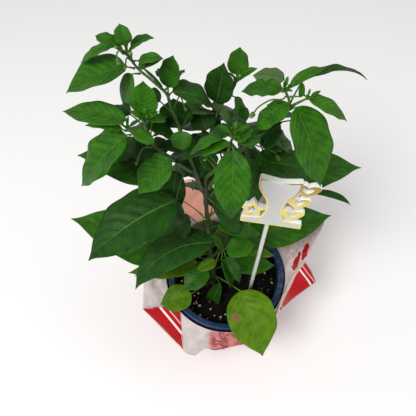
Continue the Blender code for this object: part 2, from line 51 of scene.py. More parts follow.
scene.view_settings.view_transform = "Standard"
scene.view_settings.look = "None"

surround = bpy.data.worlds.new("surround")
surround.use_nodes = True
glow = surround.node_tree.nodes["Background"].inputs
glow["Color"].default_value = (1.0, 0.99, 0.97, 1)
glow["Strength"].default_value = 0.5
scene.world = surround


def softbox(name, place, aim, size, power):
    """A square area light at a place, turned to its aim."""
    light = bpy.data.lights.new(name, "AREA")
    light.size = size
    light.energy = power
    obj = bpy.data.objects.new(name, light)
    obj.location = place
    obj.rotation_euler = (Vector(aim) - Vector(place)).to_track_quat("-Z", "Y").to_euler()
    scene.collection.objects.link(obj)


softbox("key_light", (-0.55, -0.55, 1.35), (0, 0, 0.25), 0.55, 15.0)
softbox("fill_light", (0.9, 0.1, 0.9), (0, 0, 0.25), 0.8, 2.5)

floor_paint = bpy.data.materials.new("floor_paint")
floor_paint.use_nodes = True
floor_shader = floor_paint.node_tree.nodes["Principled BSDF"].inputs
floor_shader["Base Color"].default_value = (0.93, 0.93, 0.93, 1)
floor_shader["Roughness"].default_value = 0.9
floor_mesh = bpy.data.meshes.new("floor")
floor_mesh.from_pydata([(-3, -3, 0), (3, -3, 0), (3, 3, 0), (-3, 3, 0)], [], [(0, 1, 2, 3)])
floor_mesh.materials.append(floor_paint)
floor = bpy.data.objects.new("floor", floor_mesh)
scene.collection.objects.link(floor)

lens = bpy.data.cameras.new("camera")
lens.sensor_width = 36
lens.lens = 40.67
lens.clip_start = 0.02
camera = bpy.data.objects.new("camera", lens)
camera.location = (-0.0202, -0.2014, 0.6073)
camera.rotation_euler = (math.radians(30), 0, 0)
scene.collection.objects.link(camera)
scene.camera = camera

# ---- The pot ----------------------------------------------------------------------------------------
# A blue nursery pot of thin moulded polypropylene: one injection-moulded shell with a rolled lip, a
# short skirt under it, a tapered wall and a raised floor with drain holes. It is dusty with compost.
MM = 0.001
POT_RADIUS = 65.0
POT_HEIGHT = 115.0
POT_FOOT_RADIUS = 45.0
POT_WALL = 1.4
POT_LIP = 6.0
POT_SKIRT = 11.0
POT_SHOULDER = 1.4  # how much narrower the wall is than the lip's inner edge
POT_FLOOR = 1.8  # the foot ring's middle height, above the film under it
FLOOR_RISE = 4.0  # how far the floor is raised over the foot ring
FOOT_RING = 5.0  # the width of the ring that the pot stands on, and of the slope inside it
FOOT_SLOPE = 2.0
FOOT_FLARE = 2.2  # how far the wall has come out and up where its taper begins
FOOT_RISE = 2.5
FOOT_MITRE = 0.8  # how far the corners inside the foot stand in from those outside
WALL_STEPS = 8
LIP_ROOT = 3.2  # how far the lip's underside lies below its top at the wall, and at the skirt
LIP_UNDER = 1.8
LIP_ROLL = 2.0
LIP_DISH = 0.25  # how far the lip's flat top lies below its rolled edge
INNER_ROLL = 1.5
SKIRT_FILLET = 0.3
SKIRT_ROUND = 0.25
POT_SIDES = 96
DRAIN_HOLES = 8
DRAIN_HOLE_RADIUS = 4.0
DRAIN_CIRCLE = 30.0
DRAIN_DEPTH = 6.0


class Wire:
    """A socket in a material's node tree, so that shader maths can be written as an expression."""

    def __init__(self, tree, socket):
        self.tree, self.socket = tree, socket

    def node(self, kind, settings=(), inputs=(), output=0):
        """Adds a node: its settings first, then its sockets' values or wires."""
        made = self.tree.nodes.new(kind)
        for key, value in dict(settings).items():
            setattr(made, key, value)
        for key, value in dict(inputs).items():
            if isinstance(value, Wire):
                self.tree.links.new(value.socket, made.inputs[key])
            else:
                made.inputs[key].default_value = value
        return Wire(self.tree, made.outputs[output])

    def maths(self, operation, *values):
        """A Math node on values or wires."""
        return self.node("ShaderNodeMath", {"operation": operation}, enumerate(values))

    def __add__(self, other):
        return self.maths("ADD", self, other)

    def __sub__(self, other):
        return self.maths("SUBTRACT", self, other)

    def __rsub__(self, other):
        return self.maths("SUBTRACT", other, self)

    def __mul__(self, other):
        return self.maths("MULTIPLY", self, other)

    def __truediv__(self, other):
        return self.maths("DIVIDE", self, other)

    def __pow__(self, other):
        return self.maths("POWER", self, other)

    def __abs__(self):
        return self.maths("ABSOLUTE", self)

    __radd__, __rmul__ = __add__, __mul__

    def rise(self, low, high):
        """0 below low and 1 above high, or the other way round if low is the higher, smooth between."""
        smooth = {"interpolation_type": "SMOOTHSTEP"}
        return self.node("ShaderNodeMapRange", smooth, {0: self, 1: low, 2: high})

    def between(self, low, lower, upper, high):
        """1 from lower to upper, and down to 0 at low and at high."""
        return self.rise(low, lower) * self.rise(high, upper)

    def mix(self, low, high):
        """A colour from low where this is 0 to high where it is 1."""
        return self.node("ShaderNodeMix", {"data_type": "RGBA"}, {0: self, 6: low, 7: high}, 2)

    def blotches(self, size, detail=2.0):
        """Soft noise from 0 to 1 with features of about a size in millimetres."""
        sockets = {"Vector": self, "Scale": 1 / (size * MM), "Detail": detail}
        return self.node("ShaderNodeTexNoise", {}, sockets)

    def drawn_out(self, along):
        """The same coordinates, with features lengthened along Z where along is below 1."""
        return self.node("ShaderNodeMapping", {}, {"Vector": self, "Scale": (1, 1, along)})

    def kept(self, name):
        """A value that the mesh holds at each point."""
        return self.node("ShaderNodeAttribute", {"attribute_name": name}, {}, 2)

    def split(self, axis):
        """One coordinate: 0 for X, 1 for Y and 2 for Z."""
        return self.node("ShaderNodeSeparateXYZ", {}, {0: self}, axis)

    def into(self, name):
        """Feeds this to the material's shader."""
        self.tree.links.new(self.socket, self.tree.nodes["Principled BSDF"].inputs[name])

    def relief(self, depth):
        """Feeds this as height to the shader's normal, with a depth in millimetres."""
        self.node("ShaderNodeBump", {}, {"Height": self, "Distance": depth * MM}).into("Normal")


def paint(*values):
    """A colour from its red, green and blue on a display, 0 to 255."""
    return (*(c / 255 / 12.92 if c < 10 else ((c / 255 + 0.055) / 1.055) ** 2.4 for c in values), 1)


def finish(name, **settings):
    """A material, and a wire of its object's own coordinates. The settings are the shader's fixed sockets."""
    made = bpy.data.materials.new(name)
    made.use_nodes = True
    shader = made.node_tree.nodes["Principled BSDF"].inputs
    for key, value in settings.items():
        shader[key.replace("_", " ")].default_value = value
    coordinates = made.node_tree.nodes.new("ShaderNodeTexCoord").outputs["Object"]
    return made, Wire(made.node_tree, coordinates)


def placed(name, mesh, made):
    """The object of a smooth mesh in its finish."""
    mesh.shade_smooth()
    mesh.materials.append(made)
    obj = bpy.data.objects.new(name, mesh)
    scene.collection.objects.link(obj)
    return obj


def drawn(name, shell):
    """The mesh of a bmesh that is done with."""
    mesh = bpy.data.meshes.new(name)
    shell.to_mesh(mesh)
    shell.free()
    return mesh


def fixed(obj, slot, *nodes):
    """The piece is part of the plant and stands for its CAD nodes, which are hidden. The slot is not used."""
    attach(obj, "root")
    if nodes:
        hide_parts(*nodes)
    return obj


def turned(name, profile, sides, made):
    """The skin that a profile of radius and height sweeps about Z. Points on the axis are shared."""
    shell = bmesh.new()
    for ends in zip(profile, profile[1:]):
        shell.edges.new([shell.verts.new((r * MM, 0, z * MM)) for r, z in ends])
    bmesh.ops.remove_doubles(shell, verts=shell.verts, dist=1e-6)
    bmesh.ops.spin(
        shell, geom=shell.verts[:] + shell.edges[:], cent=(0, 0, 0), axis=(0, 0, 1), angle=math.tau,
        steps=sides, use_merge=True)
    bmesh.ops.remove_doubles(shell, verts=shell.verts, dist=1e-5)
    bmesh.ops.recalc_face_normals(shell, faces=shell.faces)
    return placed(name, drawn(name, shell), made)


def pot_profile():
    """The shell's outline, from the middle of the raised floor's underside, out and up, and back inside."""
    half = POT_WALL / 2
    foot, rim, lip = POT_FOOT_RADIUS, POT_RADIUS, POT_RADIUS - POT_LIP
    ring, slope = foot - FOOT_RING, foot - FOOT_RING - FOOT_SLOPE
    floor_height, hem, dish = POT_FLOOR + FLOOR_RISE, POT_HEIGHT - POT_SKIRT, POT_HEIGHT - LIP_DISH
    under = [
        (0, floor_height - half), (slope, floor_height - half), (ring, POT_FLOOR - half),
        (foot, POT_FLOOR - half), (foot + 2 * FOOT_MITRE, POT_FLOOR)]
    wall = list(zip(
        np.linspace(foot + FOOT_FLARE, lip - POT_SHOULDER + half, WALL_STEPS + 1),
        np.linspace(POT_FLOOR + FOOT_RISE, hem, WALL_STEPS + 1)))
    edge = [
        (lip + half, POT_HEIGHT - LIP_ROOT), (rim - POT_WALL - SKIRT_FILLET, POT_HEIGHT - LIP_UNDER),
        (rim - POT_WALL, hem - half), (rim - half, hem - half - SKIRT_ROUND), (rim, hem - half),
        (rim, POT_HEIGHT - 1.2 * LIP_ROLL)]
    roll = [
        (rim - LIP_ROLL * (1 - math.cos(a)), POT_HEIGHT - LIP_ROLL * (1 - math.sin(a)))
        for a in np.linspace(0.25, math.pi / 2, 5)]
    top = [(rim - 1.6 * LIP_ROLL, dish), (lip + 1.0, dish)]
    inner_roll = [
        (lip + 0.6 - INNER_ROLL * math.sin(a), dish - INNER_ROLL * (1 - math.cos(a)))
        for a in np.linspace(0.2, math.pi / 2, 5)]
    inside = [
        (lip - INNER_ROLL - half, hem), (foot + FOOT_FLARE - POT_WALL, POT_FLOOR + FOOT_RISE + half),
        (foot - FOOT_MITRE, POT_FLOOR + half), (ring + FOOT_MITRE, POT_FLOOR + half),
        (slope + FOOT_MITRE, floor_height + half), (0, floor_height + half)]
    return under + wall + edge + roll + top + inner_roll + inside


def pot_plastic():
    """Dark blue polypropylene, darker below the lip's top inside and out as painted shade, with grime in the
    wall's scratches.
    """
    made, here = finish("pot_plastic", Specular_IOR_Level=0.3)
    height = here.split(2)
    grime = here.blotches(7, 6).rise(0.5, 0.75)
    shade = here.blotches(30).mix(paint(16, 38, 66), paint(28, 58, 92))
    # Painted shade: the shell is darker everywhere below the top of its lip, which alone keeps the lighter
    # blue.
    inside = height.rise((POT_HEIGHT - 2.2) * MM, (POT_HEIGHT - 5) * MM)
    shade = inside.mix(shade, paint(7, 15, 26))
    (grime * 0.35).mix(shade, paint(120, 112, 96)).into("Base Color")
    (here.blotches(3, 4) * 0.2 + grime * 0.25 + 0.3).into("Roughness")
    (here.blotches(1.2, 3) + here.blotches(9) * 2).relief(0.08)
    return made


def around(radius, sides):
    """Points round a circle about Z."""
    turns = [math.tau * i / sides for i in range(sides)]
    return [(radius * math.cos(turn), radius * math.sin(turn)) for turn in turns]


def settle(obj):
    """Makes what an object's modifiers do part of its mesh."""
    graph = bpy.context.evaluated_depsgraph_get()
    done = bpy.data.meshes.new_from_object(obj.evaluated_get(graph))
    obj.modifiers.clear()
    obj.data = done


def cut(obj, shell):
    """Takes a bmesh's shape out of an object for good."""
    tool = bpy.data.objects.new("cut", drawn("cut", shell))
    scene.collection.objects.link(tool)
    take = obj.modifiers.new("cut", "BOOLEAN")
    take.operation, take.object = "DIFFERENCE", tool
    settle(obj)
    bpy.data.objects.remove(tool)


def drains():
    """The drain holes' shape: short rods through the floor."""
    shell, size = bmesh.new(), DRAIN_HOLE_RADIUS * MM
    for x, y in around(DRAIN_CIRCLE, DRAIN_HOLES):
        at = Matrix.Translation(Vector((x, y, POT_FLOOR + FLOOR_RISE)) * MM)
        bmesh.ops.create_cone(
            shell, cap_ends=True, segments=20, radius1=size, radius2=size, depth=DRAIN_DEPTH * MM, matrix=at)
    return shell


pot = turned("pot_shell", pot_profile(), POT_SIDES, pot_plastic())
cut(pot, drains())
fixed(pot, "pot", "pot")

# ---- The compost ------------------------------------------------------------------------------------
# Dark, moist peat compost, heaped a little in crumbs, with fibres of bark and pale crumbs of perlite
# that have washed to the edge. It fills the pot to about 15 mm below the lip.
SOIL_TOP = 100.0
SOIL_RADIUS = 56.6
SOIL_RINGS = 46
SOIL_SIDES = 120
SOIL_UNDER = ((46.0, 13.0), (39.0, 9.0))  # the radius and height of each of its lower corners
SOIL_EDGE = 1.5  # how far the compost has sunk at the pot's wall
SOIL_MOUNDS = ((19, 2.0), (8, 1.2))  # the width and height of its low mounds, and of its crumbs
SOIL_CRUMBS = ((3.1, 1.8), (1.6, 0.9))
HEAP = (-14, -7)  # where it is heaped, round the stem
HEAP_HEIGHT = 3.0
WALL_MARGIN = 2.5  # how far from the compost's edge the outermost crumbs lie


def skin(name, points, faces, made):
    """A smooth object from points in millimetres."""
    mesh = bpy.data.meshes.new(name)
    mesh.from_pydata([tuple(c * MM for c in p) for p in points], [], faces)
    return placed(name, mesh, made)


def soil_height(x, y):
    """The compost's uneven surface: low mounds, crumbs, and a heap round the stem."""
    p = Vector((x, y, 0))
    mounds = sum(noise.noise(p / width + Vector((9 * i, 0, 0))) * height
                 for i, (width, height) in enumerate(SOIL_MOUNDS))
    crumbs = sum(abs(noise.noise(p / width)) * height for width, height in SOIL_CRUMBS)
    heap = HEAP_HEIGHT * math.exp(-((x - HEAP[0]) ** 2 + (y - HEAP[1]) ** 2) / 300)
    return SOIL_TOP - 1.5 + mounds + crumbs + heap


def compost():
    """The compost in the pot: an uneven top on a plain underside that follows the pot's floor."""
    points = [(0, 0, soil_height(0, 0))]
    for ring in range(1, SOIL_RINGS + 1):
        sunk = SOIL_EDGE if ring == SOIL_RINGS else 0
        for x, y in around(SOIL_RADIUS * ring / SOIL_RINGS, SOIL_SIDES):
            points.append((x, y, soil_height(x, y) - sunk))
    for radius, z in SOIL_UNDER:
        points += [(x, y, z) for x, y in around(radius, SOIL_SIDES)]
    steps = [(i, (i + 1) % SOIL_SIDES) for i in range(SOIL_SIDES)]
    faces = [(0, 1 + i, 1 + j) for i, j in steps]
    for ring in range(SOIL_RINGS + 1):
        a, b = 1 + ring * SOIL_SIDES, 1 + (ring + 1) * SOIL_SIDES
        faces += [(a + i, b + i, b + j, a + j) for i, j in steps]
    faces.append(tuple(reversed(range(len(points) - SOIL_SIDES, len(points)))))
    made, here = finish("compost", Specular_IOR_Level=0.12)
    tone = here.blotches(5, 5).mix(paint(3, 3, 2), paint(14, 11, 8))
    here.blotches(1.3, 3).rise(0.62, 0.72).mix(tone, paint(40, 30, 22)).into("Base Color")
    (here.blotches(4) * 0.3 + 0.7).into("Roughness")
    here.blotches(0.9, 5).relief(0.7)
    return skin("compost", points, faces, made)


fixed(compost(), "soil", "soil")


def crumb(shell, place, size, seed, flat):
    """A small irregular lump, sunk a little where it lies."""
    rng = random.Random(seed)
    place = Vector(place) * MM
    turn = Matrix.Rotation(rng.uniform(0, math.tau), 4, "Z") @ Matrix.Rotation(rng.uniform(-0.5, 0.5), 4, "X")
    at = Matrix.Translation(place) @ turn @ Matrix.Diagonal((1, rng.uniform(0.6, 0.95), flat, 1))
    made = bmesh.ops.create_icosphere(shell, subdivisions=2, radius=size * MM, matrix=at)
    for vert in made["verts"]:
        away = vert.co - place
        vert.co += away * 0.45 * noise.noise(away / (size * MM) * 1.3 + Vector((seed, 0, 0)))


def scatter(name, made, count, seed, sizes, near_edge, flat):
    """Crumbs over the compost as one piece, more of them by the pot's wall where near_edge is high."""
    rng = random.Random(seed)
    shell = bmesh.new()
    for i in range(count):
        turn = rng.uniform(0, math.tau)
        radius = (SOIL_RADIUS - WALL_MARGIN) * rng.random() ** (0.5 / near_edge)
        x, y = radius * math.cos(turn), radius * math.sin(turn)
        size = rng.uniform(*sizes)
        crumb(shell, (x, y, soil_height(x, y) + size * 0.25), size, seed * 100 + i, flat)
    fixed(placed(name, drawn(name, shell), made), "soil")


def dry(name, low, high, mottle, grain):
    """A dull finish, mottled from one colour to another, over a grain in millimetres."""
    made, here = finish(name)
    here.blotches(mottle, 3).mix(low, high).into("Base Color")
    (here.blotches(2) * 0.2 + 0.75).into("Roughness")
    here.blotches(grain, 3).relief(0.3)
    return made


perlite = dry("perlite", paint(150, 138, 116), paint(214, 204, 184), 1.5, 0.5)
bark = dry("bark", paint(30, 20, 13), paint(84, 60, 40), 3, 0.7)
scatter("perlite_crumbs", perlite, 48, 6, (0.7, 1.7), 3.2, 0.75)
scatter("bark_chips", bark, 90, 8, (0.8, 2.2), 1.2, 0.35)

# ---- The film wrap ----------------------------------------------------------------------------------
# A bag of thin printed film, gathered round the pot and open at the top: glossy red outside with narrow
# white lines, pale inside. Its collar stands up behind and lies over the lip in front, and on both sides
# a corner is folded in over the rest, so that the red outside shows.
FILM = 0.22
FILM_GAP = 1.4
FILM_COLUMNS = 320
# The corners of the film's outline over the pot, as heading, radius and height.
WRAP_EDGE = (
    (0, 95, 118), (7, 88, 122), (11, 96, 135), (22, 117, 151), (45, 104, 160), (90, 88, 182), (120, 92, 180),
    (150, 95, 152), (178, 90, 124), (204, 100, 110), (240, 92, 84), (248, 91, 81), (254, 81, 90),
    (262, 81, 92), (284, 77, 95), (300, 76, 100), (317, 71, 107), (338, 78, 105), (354, 101, 112),
)
# Each folded corner: the headings where its crease starts and stops, and between them its free edge's
# corners, as heading, radius and height; then the width of the unprinted hem along that edge.
FOLDS = (
    (204, 240, ((219, 66, 117.5),), 1.2),
    (317, 367, ((333, 67.5, 117), (354, 73, 120)), 3.2),
)
FOLD_STEPS = 14
FOLD_DIP = 4.0  # how far the collar lies under a folded corner
FOLD_LIFT = 2.0  # how far it stands off the line from its crease to its free edge
FOLD_CREASE = 0.22  # how deep its creases are, as a share of the collar's
UNDER_ROWS = 10  # the film's rows of points under the pot, up its wall and over the collar
WALL_ROWS = 24
COLLAR_ROWS = 24
PLEATS = 23
PLEAT_DEPTH = 2.6
PUCKERS = 18  # under the pot
CREASES = (44, 31, 23, 16, 11, 8, 5.5)  # the sizes of the facets between creases
CREASE_DEPTH = 0.085  # as a share of a facet
NECK_DROP = 9.0  # how far under the skirt's hem the film turns out over it
LAP_DROP = 2.0  # how far under the lip's top the film starts to bend out over its edge
STANDING = 10  # how far over the pot the collar's edge is, where it stands rather than lies
# The print's lengths are in metres, as the coordinates of its finish are.
STRIPE_PERIOD = 0.046
STRIPE_WAY = (0.717, 0.697)  # the way across the stripes on the collar
STRIPE_START = 0.239
THIN_LINE = 0.109  # how far a thin white line runs beside each broad one, as a share of the period
SLEEVE_STRIPES = 7  # how many stand round the pot, and how many stripes' width they lean by in a metre
SLEEVE_LEAN = 4
SLEEVE_EDGE = (0.0695, 0.068)  # the radii between which the sleeve's stripes give way to the collar's
RED_MARKS = ((0.079, 0.010), (0.088, 0.018))  # where the red shows through the collar in two smears


def direction(heading, pitch):
    """The unit vector at a heading and a pitch."""
    h, p = math.radians(heading), math.radians(pitch)
    return Vector((math.cos(p) * math.cos(h), math.cos(p) * math.sin(h), math.sin(p)))


def polar(heading, radius, height):
    """The point at a heading, a distance from the pot's axis and a height."""
    return direction(heading, 0) * radius + Vector((0, 0, height))


def on_line(a, b, heading):
    """Where the upright plane at a heading crosses the line from a to b."""
    across = direction(heading + 90, 0)
    return a.lerp(b, across.dot(a) / across.dot(a - b))


def film_edge(heading):
    """The film's outermost point at a heading: straight between the corners of its cut edge."""
    heading %= 360
    first, last = WRAP_EDGE[0], WRAP_EDGE[-1]
    rows = [(last[0] - 360, *last[1:]), *WRAP_EDGE, (first[0] + 360, *first[1:])]
    for low, high in zip(rows, rows[1:]):
        if low[0] <= heading <= high[0]:
            return on_line(polar(*low), polar(*high), heading)


def under_fold(heading):
    """1 under the middle of a folded corner, down to 0 at its ends and beyond."""
    for first, last, _, _ in FOLDS:
        t = ((heading - first) % 360) / (last - first)
        if t < 1:
            return math.sin(math.pi * t) ** 0.5
    return 0


def creased(point, strength):
    """How far the film stands off its smooth form: facets with sharp creases, in many directions."""
    rng = random.Random(11)
    off = 0
    for length in CREASES:
        way = Vector((rng.gauss(0, 1), rng.gauss(0, 1), rng.gauss(0, 1))).normalized()
        bend = noise.noise(point / 40 + Vector((length, 0, 0))) * 0.7
        swing = abs((way.dot(point) / length + bend + rng.random()) % 1 * 2 - 1)
        off += (swing - 0.5) * length * CREASE_DEPTH
    return off * strength


def sleeve_run(heading):
    """The film's points at a heading, from under the pot, up its wall and over its lip."""
    half, turn = FILM / 2, math.radians(heading)
    low, high = POT_FOOT_RADIUS + FILM_GAP, POT_RADIUS - POT_LIP + FILM_GAP
    hem, top, lap = POT_RADIUS + FILM_GAP, POT_HEIGHT - POT_SKIRT, POT_HEIGHT - LAP_DROP
    gather = 0.5 + 0.5 * math.cos(PLEATS * turn + 1.5 * math.sin(3 * turn))
    pucker = 0.5 * abs(math.sin(PUCKERS / 2 * turn))
    places = [
        ((low + 0.6) * (k + 1) / UNDER_ROWS, half + pucker * k / (UNDER_ROWS - 1)) for k in range(UNDER_ROWS)]
    for k in range(1, WALL_ROWS + 1):
        t = k / WALL_ROWS
        pleat = gather * PLEAT_DEPTH * math.sin(math.pi * t) ** 0.6
        radius = low + FOOT_FLARE + (high + 1.0 - low) * t + pleat
        places.append((radius, half + FOOT_RISE + (top - NECK_DROP - FOOT_RISE - half) * t))
    places.append((hem - 1.2, top - 5))
    places += [(hem + 0.8 * t, top - 1 + (lap + 1 - top) * t) for t in (0, 0.3, 0.65, 1)]
    return [polar(heading, *place) for place in places]


def collar_run(heading, rim):
    """The film's points at a heading, from a point by the lip to the cut edge: a curve, and creased."""
    edge, out, covered = film_edge(heading), direction(heading, 0), under_fold(heading)
    hem, lap = POT_RADIUS + FILM_GAP, POT_HEIGHT - LAP_DROP
    middle = out * (hem + (math.hypot(edge.x, edge.y) - hem) * 0.4)
    middle.z = lap + (edge.z - lap) * 0.3 - FOLD_DIP * covered
    slope = (edge - rim).normalized()
    normal = Vector((0, 0, 1)) - slope * slope.z + out * 1e-6
    if edge.z > POT_HEIGHT + STANDING:
        normal = slope * slope.dot(out) - out
    run = []
    for k in range(1, COLLAR_ROWS + 1):
        t = k / COLLAR_ROWS
        at = rim * (1 - t) ** 2 + middle * 2 * t * (1 - t) + edge * t**2
        strength = min(1, t * 3) * (0.55 + 0.45 * (1 - t)) * (1 - 0.75 * covered)
        run.append(at + normal.normalized() * creased(at, strength))
    return run


def fold_run(outer, inner, hem_width):
    """A folded corner's points from its crease to its free edge, and how near each is to the hem there."""
    run = []
    for k in range(1, FOLD_STEPS + 1):
        t = k / FOLD_STEPS
        at = outer.lerp(inner, t)
        lift = FOLD_LIFT * math.sin(math.pi * min(1, t * 1.6) / 2) * min(1, (outer - inner).length / 12)
        at = at + Vector((0, 0, lift + creased(at, FOLD_CREASE * min(1, t * 3))))
        run.append((at, max(0.0, 1 - (at - inner).length / hem_width / 2)))
    return run


def film():
    """The film's points and faces as one sheet, and how near each point is to an unprinted hem."""
    headings = [360 * i / FILM_COLUMNS for i in range(FILM_COLUMNS)]
    runs = [sleeve_run(heading) for heading in headings]
    for heading, run in zip(headings, runs):
        run += collar_run(heading, run[-1])
    rows = len(runs[0])
    points, faces = [Vector((0, 0, FILM / 2)), *sum(runs, [])], []
    for i in range(FILM_COLUMNS):
        a, b = 1 + i * rows, 1 + (i + 1) % FILM_COLUMNS * rows
        faces.append((0, b, a))
        faces += [(a + j, b + j, b + j + 1, a + j + 1) for j in range(rows - 1)]
    near_hem = [0.0] + [*[0.0] * (rows - 1), 1.0] * FILM_COLUMNS
    for first, last, free_edge, hem_width in FOLDS:
        start, stop = round(first * FILM_COLUMNS / 360), round(last * FILM_COLUMNS / 360)
        ends = runs[start][-1], runs[stop % FILM_COLUMNS][-1]
        corners = [(first, ends[0]), *((at[0], polar(*at)) for at in free_edge), (last, ends[1])]
        before = None
        for i in range(start, stop + 1):
            heading = 360 * i / FILM_COLUMNS
            crease = 1 + i % FILM_COLUMNS * rows + rows - 1
            outer = inner = points[crease]
            for (low, a), (high, b) in zip(corners, corners[1:]):
                if low < heading <= high and i != stop:
                    inner = on_line(a, b, heading)
            row = [crease, *range(len(points), len(points) + FOLD_STEPS)]
            for at, near in fold_run(outer, inner, hem_width):
                points.append(at)
                near_hem.append(near)
            if before:
                faces += [(before[j], row[j], row[j + 1], before[j + 1]) for j in range(FOLD_STEPS)]
            before = row
    return points, faces, near_hem


def printed_side(here, x, y, z):
    """Red with narrow white lines, straight over the collar and upright round the sleeve, and a bare hem."""
    across = (x * STRIPE_WAY[0] + y * STRIPE_WAY[1]) / STRIPE_PERIOD + STRIPE_START
    round_it = x.maths("ARCTAN2", y, x) * (SLEEVE_STRIPES / math.tau) + z * SLEEVE_LEAN
    across = across + (round_it - across) * ((x * x + y * y) ** 0.5).rise(*SLEEVE_EDGE)
    line = across.maths("FRACT", across + 8) - 0.5
    white = abs(line).rise(0.026, 0.016) + abs(line - THIN_LINE).rise(0.013, 0.005) * 0.8
    red = here.blotches(14, 3).mix(paint(150, 4, 12), paint(190, 12, 24))
    red = white.mix(red, paint(244, 226, 224))
    red = (here.blotches(5, 3).rise(0.62, 0.8) * 0.35).mix(red, paint(206, 70, 72))
    bare = here.blotches(4).mix(paint(176, 152, 138), paint(214, 198, 188))
    return here.kept("hem").rise(0.45, 0.55).mix(red, bare)


def pale_side(here, x, y, z, behind):
    """The film's unprinted side, with the print showing through it in places."""
    pale = here.blotches(12, 5).rise(0.3, 0.7).mix(paint(192, 180, 177), paint(208, 197, 195))
    salmon = here.blotches(18, 2).mix(paint(196, 134, 120), paint(224, 170, 154))
    pale = behind.mix(pale, salmon)
    front = y.rise(-0.060, -0.069) * x.between(-0.024, -0.014, 0.030, 0.052) * z.rise(0.116, 0.112)
    ragged = here.blotches(7, 5)
    through = ragged.rise(0.42, 0.62).mix(paint(142, 16, 24), paint(204, 120, 116))
    pale = (front * ragged.rise(0.2, 0.4) * 0.9).mix(pale, through)
    right = x.rise(0.066, 0.074) * y.between(-0.004, 0.004, 0.036, 0.062)
    flecks = here.blotches(3.4, 4).rise(0.46, 0.58)
    pale = (right * flecks * 0.35).mix(pale, paint(190, 116, 118))
    for at_x, at_y in RED_MARKS:
        off_x, off_y = (x - at_x - (y - at_y) * 0.35) * 330, (y - at_y) * 125
        smear = (off_x * off_x + off_y * off_y) ** 0.5 + ragged * 1.6 - 0.8
        pale = smear.rise(1.05, 0.85).mix(pale, paint(160, 6, 16))
    return pale


def film_print():
    """The film's finish: its printed and its pale side, glossier outside, and a painted glow on the pale side
    at the back, as if lit through from behind.
    """
    made, here = finish("printed_film", Specular_IOR_Level=0.22, Coat_Roughness=0.12, Emission_Strength=0.5)
    x, y, z = here.split(0), here.split(1), here.split(2)
    outside = here.kept("outside")
    behind = y.rise(0.058, 0.066) * z.rise(0.116, 0.124) * x.between(-0.062, -0.052, 0.034, 0.046)
    outside.mix(pale_side(here, x, y, z, behind), printed_side(here, x, y, z)).into("Base Color")
    (here.blotches(6, 3) * 0.15 - outside * 0.16 + 0.38).into("Roughness")
    (outside * 0.12).into("Coat Weight")
    # Painted light: the pale side at the back glows salmon, as though lit through from behind.
    painted_backlight_glow = behind * (1 - outside)
    painted_backlight_glow.mix(paint(0, 0, 0), paint(196, 132, 112)).into("Emission Color")
    (here.blotches(3.5, 3) + here.blotches(1.2, 2) * 0.3).relief(0.35)
    return made


def keep(obj, name, values):
    """Holds a value at each of an object's points, for its finish to read."""
    held = obj.data.attributes.new(name, "FLOAT", "POINT")
    held.data.foreach_set("value", np.array(values, np.float32))


points, faces, near_hem = film()
wrap = skin("film_wrap", points, faces, film_print())
thick = wrap.modifiers.new("film", "SOLIDIFY")
thick.thickness, thick.offset = FILM * MM, 0
settle(wrap)
keep(wrap, "outside", [1.0] * len(points) + [0.0] * len(points))
keep(wrap, "hem", near_hem * 2)
fixed(wrap, "wrap", "wrap")

# ---- The stems --------------------------------------------------------------------------------------
# One soft-wooded main stem that forks and forks again. The old wood is ribbed and brownish green, the
# young twigs smooth, bright green and darker where a leaf or twig leaves them.
STEM_STEP = 9.0  # between the points of a stem's route, and of its skin's
FINE_STEP = 2.2
STEM_SIDES = 15
SEAT_REACH = 30.0  # how far off a stem's axis a seat is looked for
GAP = 0.3  # between the seat of a stalk and the stem that it leaves
FOOT_LET_IN = 1.6  # how far a branch's foot is let into its parent
FOOT_SWELL = (0.22, 3.5)  # how much thicker a branch's foot is, and over what length
KNOT_SWELL = (0.2, 0.018)  # the same at each joint on a stem, the length as a share of the stem's
TIP_THINNING = 0.22  # how much finer a stem's skin is at its tip than the form that seats its stalks
# Each stem: the one that it leaves and the place along it, from 0 to 1, its half width at the foot and
# at the tip, and its route.
STEMS = {
    "main_stem": (None, 0, 3.3, 1.1, (
        (-14, -8, 88), (-15, -6, 140), (-19, 0, 196), (-22, 7, 262), (-22, 15, 292), (-19, 28, 320),
        (-11, 40, 340), (-2, 49, 349), (1, 51, 357))),
    "branch_left": ("main_stem", 0.60, 2.1, 1.0, (
        (-31, 11, 300), (-39, 15, 338), (-45, 18, 362), (-48, 20, 376), (-57, 23, 385), (-65, 25, 393),
        (-71, 27, 404))),
    "branch_left_low": ("branch_left", 0.14, 1.7, 1.0, (
        (-38, 6, 310), (-47, 2, 328), (-57, -3, 348), (-60, -5, 364), (-61, -5, 378))),
    "twig_left_low": ("branch_left_low", 0.66, 1.2, 0.9, (
        (-65, -8, 361), (-71, -11, 378))),
    "branch_front": ("main_stem", 0.70, 1.9, 1.0, (
        (-17, 3, 308), (-12, -9, 336), (-7, -16, 362), (-5, -20, 382))),
    "branch_right": ("main_stem", 0.64, 2.1, 1.0, (
        (-8, 11, 304), (9, 12, 330), (23, 12, 352), (33, 10, 374), (28, 11, 388))),
    "twig_right": ("branch_right", 0.86, 1.1, 0.9, (
        (37, 9, 378), (43, 8, 384))),
    "side_shoot": ("main_stem", 0.27, 1.6, 1.1, (
        (-10, -7, 184), (-5, -9, 200))),
}


def smooth_route(points, step):
    """Points about a step apart on the Catmull-Rom curve through the given ones."""
    ends = [2 * points[0] - points[1], *points, 2 * points[-1] - points[-2]]
    route = []
    for a, b, c, d in zip(ends, ends[1:], ends[2:], ends[3:]):
        count = max(1, round((c - b).length / step))
        bend, twist = 2 * a - 5 * b + 4 * c - d, 3 * b - a - 3 * c + d
        for t in (i / count for i in range(count)):
            route.append(0.5 * (2 * b + (c - a) * t + bend * t**2 + twist * t**3))
    return [*route, points[-1].copy()]


